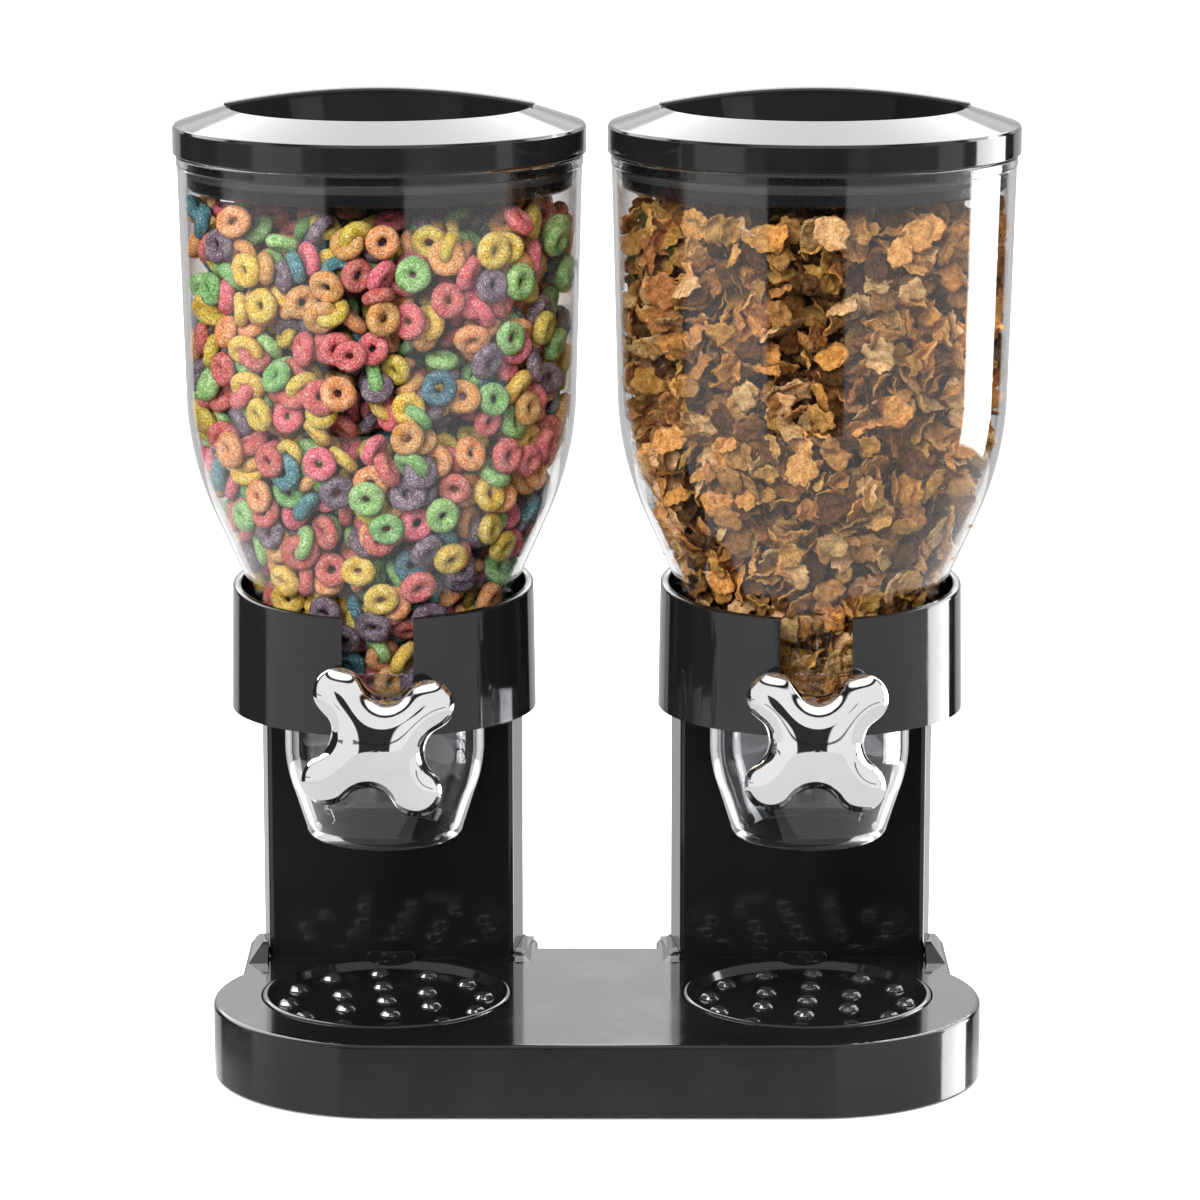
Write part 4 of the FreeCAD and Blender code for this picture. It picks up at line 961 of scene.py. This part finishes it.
def pour_flakes():
    """Bran flakes on the right; a ring of six beads and one below its middle stand for a cupped flake."""
    angles = np.arange(6) / 6 * math.tau
    ring = FLAKE_BEAD_RING
    beads = np.stack([ring * np.cos(angles), ring * np.sin(angles), 0.5 * MM + 0 * angles], 1)
    beads = np.concatenate([beads, [[0, 0, -1.0 * MM]]])
    beads -= beads.mean(0)
    shapes = []
    for seed in range(14):
        shapes += [flake_shape(seed, 9), flake_shape(seed, 4)]
    pour("right", beads, FLAKE_BEAD, FLAKE_COUNT, 0, shapes, FLAKE_TONES, FLAKE_SHARES, bran_flake,
         "cereal_flakes", 23)


# ---- stage ----

CAMERA_BACK = 1.9352
CAMERA_UP = 0.5856
CAMERA_PITCH = math.radians(11.57)
CAMERA_LENS = 150.5
CAMERA_SHIFT = 0.0025
FLOOR_RADIUS = 14.0

# The studio's lights: strengths, and where they lie as (from, to) in degrees. Turn is 0 straight in front
# and grows to the right, aside is turn without its sign, and height is 0 level and 90 straight up.
BASE_LIGHT = 0.02
FRONT_ASIDE, FRONT_HEIGHT, FRONT_LIGHT = (96, 101), (44, 48), 0.85
GAP_TURN, GAP_HEIGHT, GAP_DARK = (-29, 16), (-16.6, 18.5), 0.99
LID_GAP_HEIGHT, LID_GAP_DARK = (-7.6, -5.0), 0.85  # dark line that the lids' bands reflect
LID_GAP_BREAKS = ((-72, -41), (70, 88))
FLOOR_HEIGHT, FLOOR_LIGHT = (-16.9, -16.5), 0.72
BACK_ASIDE, BACK_HEIGHT, BACK_RISE, BACK_LIGHT = (141, 145), (20, 24), (7, 14), (0.75, 1.5)
STRIP_TURN, STRIP_HEIGHT, STRIP_LIGHT = (99, 129), (-18, 26), 10.0
BOX_ASIDE, BOX_HEIGHT, BOX_LIGHT = (104, 110), (20, 76), 4.9
TOP_HEIGHT, TOP_LIGHT = (52, 56), 1.3


def make_camera():
    data = bpy.data.cameras.new("camera")
    data.lens = CAMERA_LENS
    data.shift_x = CAMERA_SHIFT
    data.clip_start, data.clip_end = 0.1, 60
    camera = added("camera", data)
    camera.location = (0, -CAMERA_BACK, CAMERA_UP)
    camera.rotation_euler = (math.pi / 2 - CAMERA_PITCH, 0, 0)
    bpy.context.scene.camera = camera


def make_floor():
    """Matt white floor that stays out of reflections and out of what the clear plastic bends."""
    form = bmesh.new()
    bmesh.ops.create_circle(form, cap_ends=True, segments=96, radius=FLOOR_RADIUS)
    floor = finished("floor", form)
    look = Finish("floor_look", IOR=1.4)
    haze = look.noise(3, 3)
    look.set("Base Color", look.blend(haze, (0.86, 0.86, 0.86), (0.90, 0.90, 0.90)))
    look.sheen(haze, 0.85, 0.95)
    look.set("Specular IOR Level", 0.1)
    floor.data.materials.append(look.material)
    floor.visible_glossy = False
    floor.visible_transmission = False


def make_world():
    """White studio round the object: front panels with a gap for the camera, dark corners, one strip
    light on the right, a bright back wall and a large soft box above and behind."""
    world = bpy.data.worlds.new("studio")
    world.use_nodes = True
    bpy.context.scene.world = world
    tree = Tree(world.node_tree)
    tree.nodes.clear()
    way = tree.add("ShaderNodeSeparateXYZ", Vector=tree.add("ShaderNodeTexCoord").outputs["Generated"])
    x, y, z = way.outputs
    to_degrees = 180 / math.pi
    turn = tree.math("MULTIPLY", tree.math("ARCTAN2", x, tree.math("MULTIPLY", y, -1.0)), to_degrees)
    aside = tree.math("ABSOLUTE", turn)
    height = tree.math("MULTIPLY", tree.math("ARCSINE", z), to_degrees)

    def both(first, second):
        return tree.math("MULTIPLY", first, second)

    def without(light, mask):
        return both(light, tree.math("SUBTRACT", 1.0, mask))

    front = both(tree.ramp(aside, *FRONT_ASIDE, 1.0, 0.0), tree.ramp(height, *FRONT_HEIGHT, FRONT_LIGHT, 0.0))
    gap = both(tree.window(turn, *GAP_TURN, 1.5), tree.window(height, *GAP_HEIGHT, 0.4))
    front = without(front, both(gap, GAP_DARK))
    breaks = tree.math("ADD", *(tree.window(turn, *span, 2) for span in LID_GAP_BREAKS))
    lid_gap = without(tree.window(height, *LID_GAP_HEIGHT, 0.12), breaks)
    front = without(front, both(lid_gap, LID_GAP_DARK))
    front = both(front, tree.ramp(height, *FLOOR_HEIGHT))
    floor = tree.ramp(height, *FLOOR_HEIGHT, FLOOR_LIGHT, 0.0)
    back = both(tree.ramp(aside, *BACK_ASIDE), tree.ramp(height, *BACK_HEIGHT, 1.0, 0.0))
    back = both(back, tree.ramp(height, *BACK_RISE, *BACK_LIGHT))
    strip = both(tree.window(turn, *STRIP_TURN, 0.8), tree.window(height, *STRIP_HEIGHT, 0.8))
    box = both(tree.ramp(aside, *BOX_ASIDE), tree.window(height, *BOX_HEIGHT, 1.5))
    top = both(tree.ramp(height, *TOP_HEIGHT), TOP_LIGHT)
    light = BASE_LIGHT
    for part in (front, floor, back, both(strip, STRIP_LIGHT), both(box, BOX_LIGHT), top):
        light = tree.math("ADD", light, part)
    studio = tree.add("ShaderNodeBackground", Strength=light)
    plain = tree.add("ShaderNodeBackground", Strength=1.0)
    for background in (studio, plain):
        background.inputs["Color"].default_value = (*WHITE, 1.0)
    mixed = tree.add("ShaderNodeMixShader")
    tree.feed(mixed.inputs[0], tree.add("ShaderNodeLightPath").outputs["Is Camera Ray"])
    tree.links.new(studio.outputs[0], mixed.inputs[1])
    tree.links.new(plain.outputs[0], mixed.inputs[2])
    output = tree.add("ShaderNodeOutputWorld")
    tree.links.new(mixed.outputs[0], output.inputs["Surface"])


def soft_lamp(name, width, depth, watts, spot, aim):
    """Rectangular lamp at spot, turned towards aim and never seen itself."""
    lamp = bpy.data.lights.new(name, "AREA")
    lamp.shape, lamp.size, lamp.size_y, lamp.energy = "RECTANGLE", width, depth, watts
    holder = added(name, lamp)
    holder.location = spot
    holder.rotation_euler = (Vector(aim) - holder.location).to_track_quat("-Z", "Y").to_euler()
    holder.visible_camera = False
    holder.visible_transmission = False
    return holder


def make_fill():
    """Large soft lamp in front and above that lights the cereal and stays out of the reflections."""
    fill = soft_lamp("front_fill", 1.6, 1.2, 88, (-0.8, -1.8, 1.25), (0, 0, 0.25))
    fill.visible_glossy = False


def make_sparkle(*dots):
    """Lamp overhead that only the trays' dots catch, since hoppers and columns shade them from the rest."""
    lit = bpy.data.collections.new("lit_dots")
    for piece in dots:
        lit.objects.link(piece)
    sparkle = soft_lamp("dot_sparkle", 2.4, 0.6, 110, (-0.30, -0.35, 1.0), (0, 0, 0.03))
    sparkle.light_linking.receiver_collection = lit
    sparkle.light_linking.blocker_collection = lit


# ---- the whole object ----

def dress(node, material):
    """Give a CAD node its look."""
    piece = frame["nodes"][node]
    for slot in piece.material_slots:
        slot.material = material


make_camera()
make_world()
make_fill()
make_floor()

# One copy of the glossy black for each part; the column's and tray's tones are set a little darker as painted
# shade, since they stand in the shade of the hoppers and cups.
BLACK = {name: gloss_black(f"{name}_black_look", *tones) for name, tones in {
    "base": ((0.0042, 0.0042, 0.0045), (0.0068, 0.0068, 0.0072), 0.07),
    "column": ((0.0036, 0.0036, 0.0038), (0.0058, 0.0058, 0.0062), 0.06),
    "collar": ((0.0045, 0.0045, 0.0048), (0.0070, 0.0070, 0.0075), 0.05),
    "lid": ((0.0050, 0.0050, 0.0053), (0.0078, 0.0078, 0.0083), 0.05),
    "tray": ((0.0036, 0.0036, 0.0038), (0.0056, 0.0056, 0.0060), 0.08),
}.items()}
INNER = satin_black()
PLUG = plug_black()
STEEL = screw_steel()
SHAFT = shaft_plastic()
SEAL = silicone("seal_silicone_look", (0.030, 0.030, 0.032), 0.0)
VANES = silicone("wheel_silicone_look", (0.72, 0.74, 0.76), 0.86)
CHROME = chrome("chrome_look")
# The edge shade values (0.9 and 0.25) are how far painted shade darkens each clear plastic where it is seen
# edge on.
HOPPER_CLEAR = clear_plastic("hopper_clear_look", (0.985, 0.99, 0.995), (0.90, 0.905, 0.91), 0.9, 1.47)
CUP_CLEAR = clear_plastic("cup_clear_look", (0.97, 0.975, 0.99), (0.88, 0.89, 0.91), 0.25, 1.49)

SIDE_LOOKS = {"column": BLACK["column"], "column_cover": INNER, "column_screws": STEEL,
              "collar": BLACK["collar"], "collar_screws": STEEL, "shaft": SHAFT, "wheel_hub": SHAFT,
              "wheel_vanes": VANES, "lid_plug": PLUG, "lid_seal": SEAL}

dress("base_shell", BLACK["base"])
dress("base_plate", INNER)
dress("rubber_feet", foot_rubber())
dress("base_screws", STEEL)
dots = []
for side in SIDES:
    for node, material in SIDE_LOOKS.items():
        dress(f"{node}_{side}", material)
    make_hopper(side, HOPPER_CLEAR)
    make_cup(side, CUP_CLEAR)
    make_knob(side, CHROME)
    make_lid(side, BLACK["lid"])
    dots.append(make_tray(side, BLACK["tray"]))
make_sparkle(*dots)
pour_loops()
pour_flakes()

bpy.context.scene.view_settings.view_transform = "Standard"
bpy.context.scene.view_settings.look = "None"
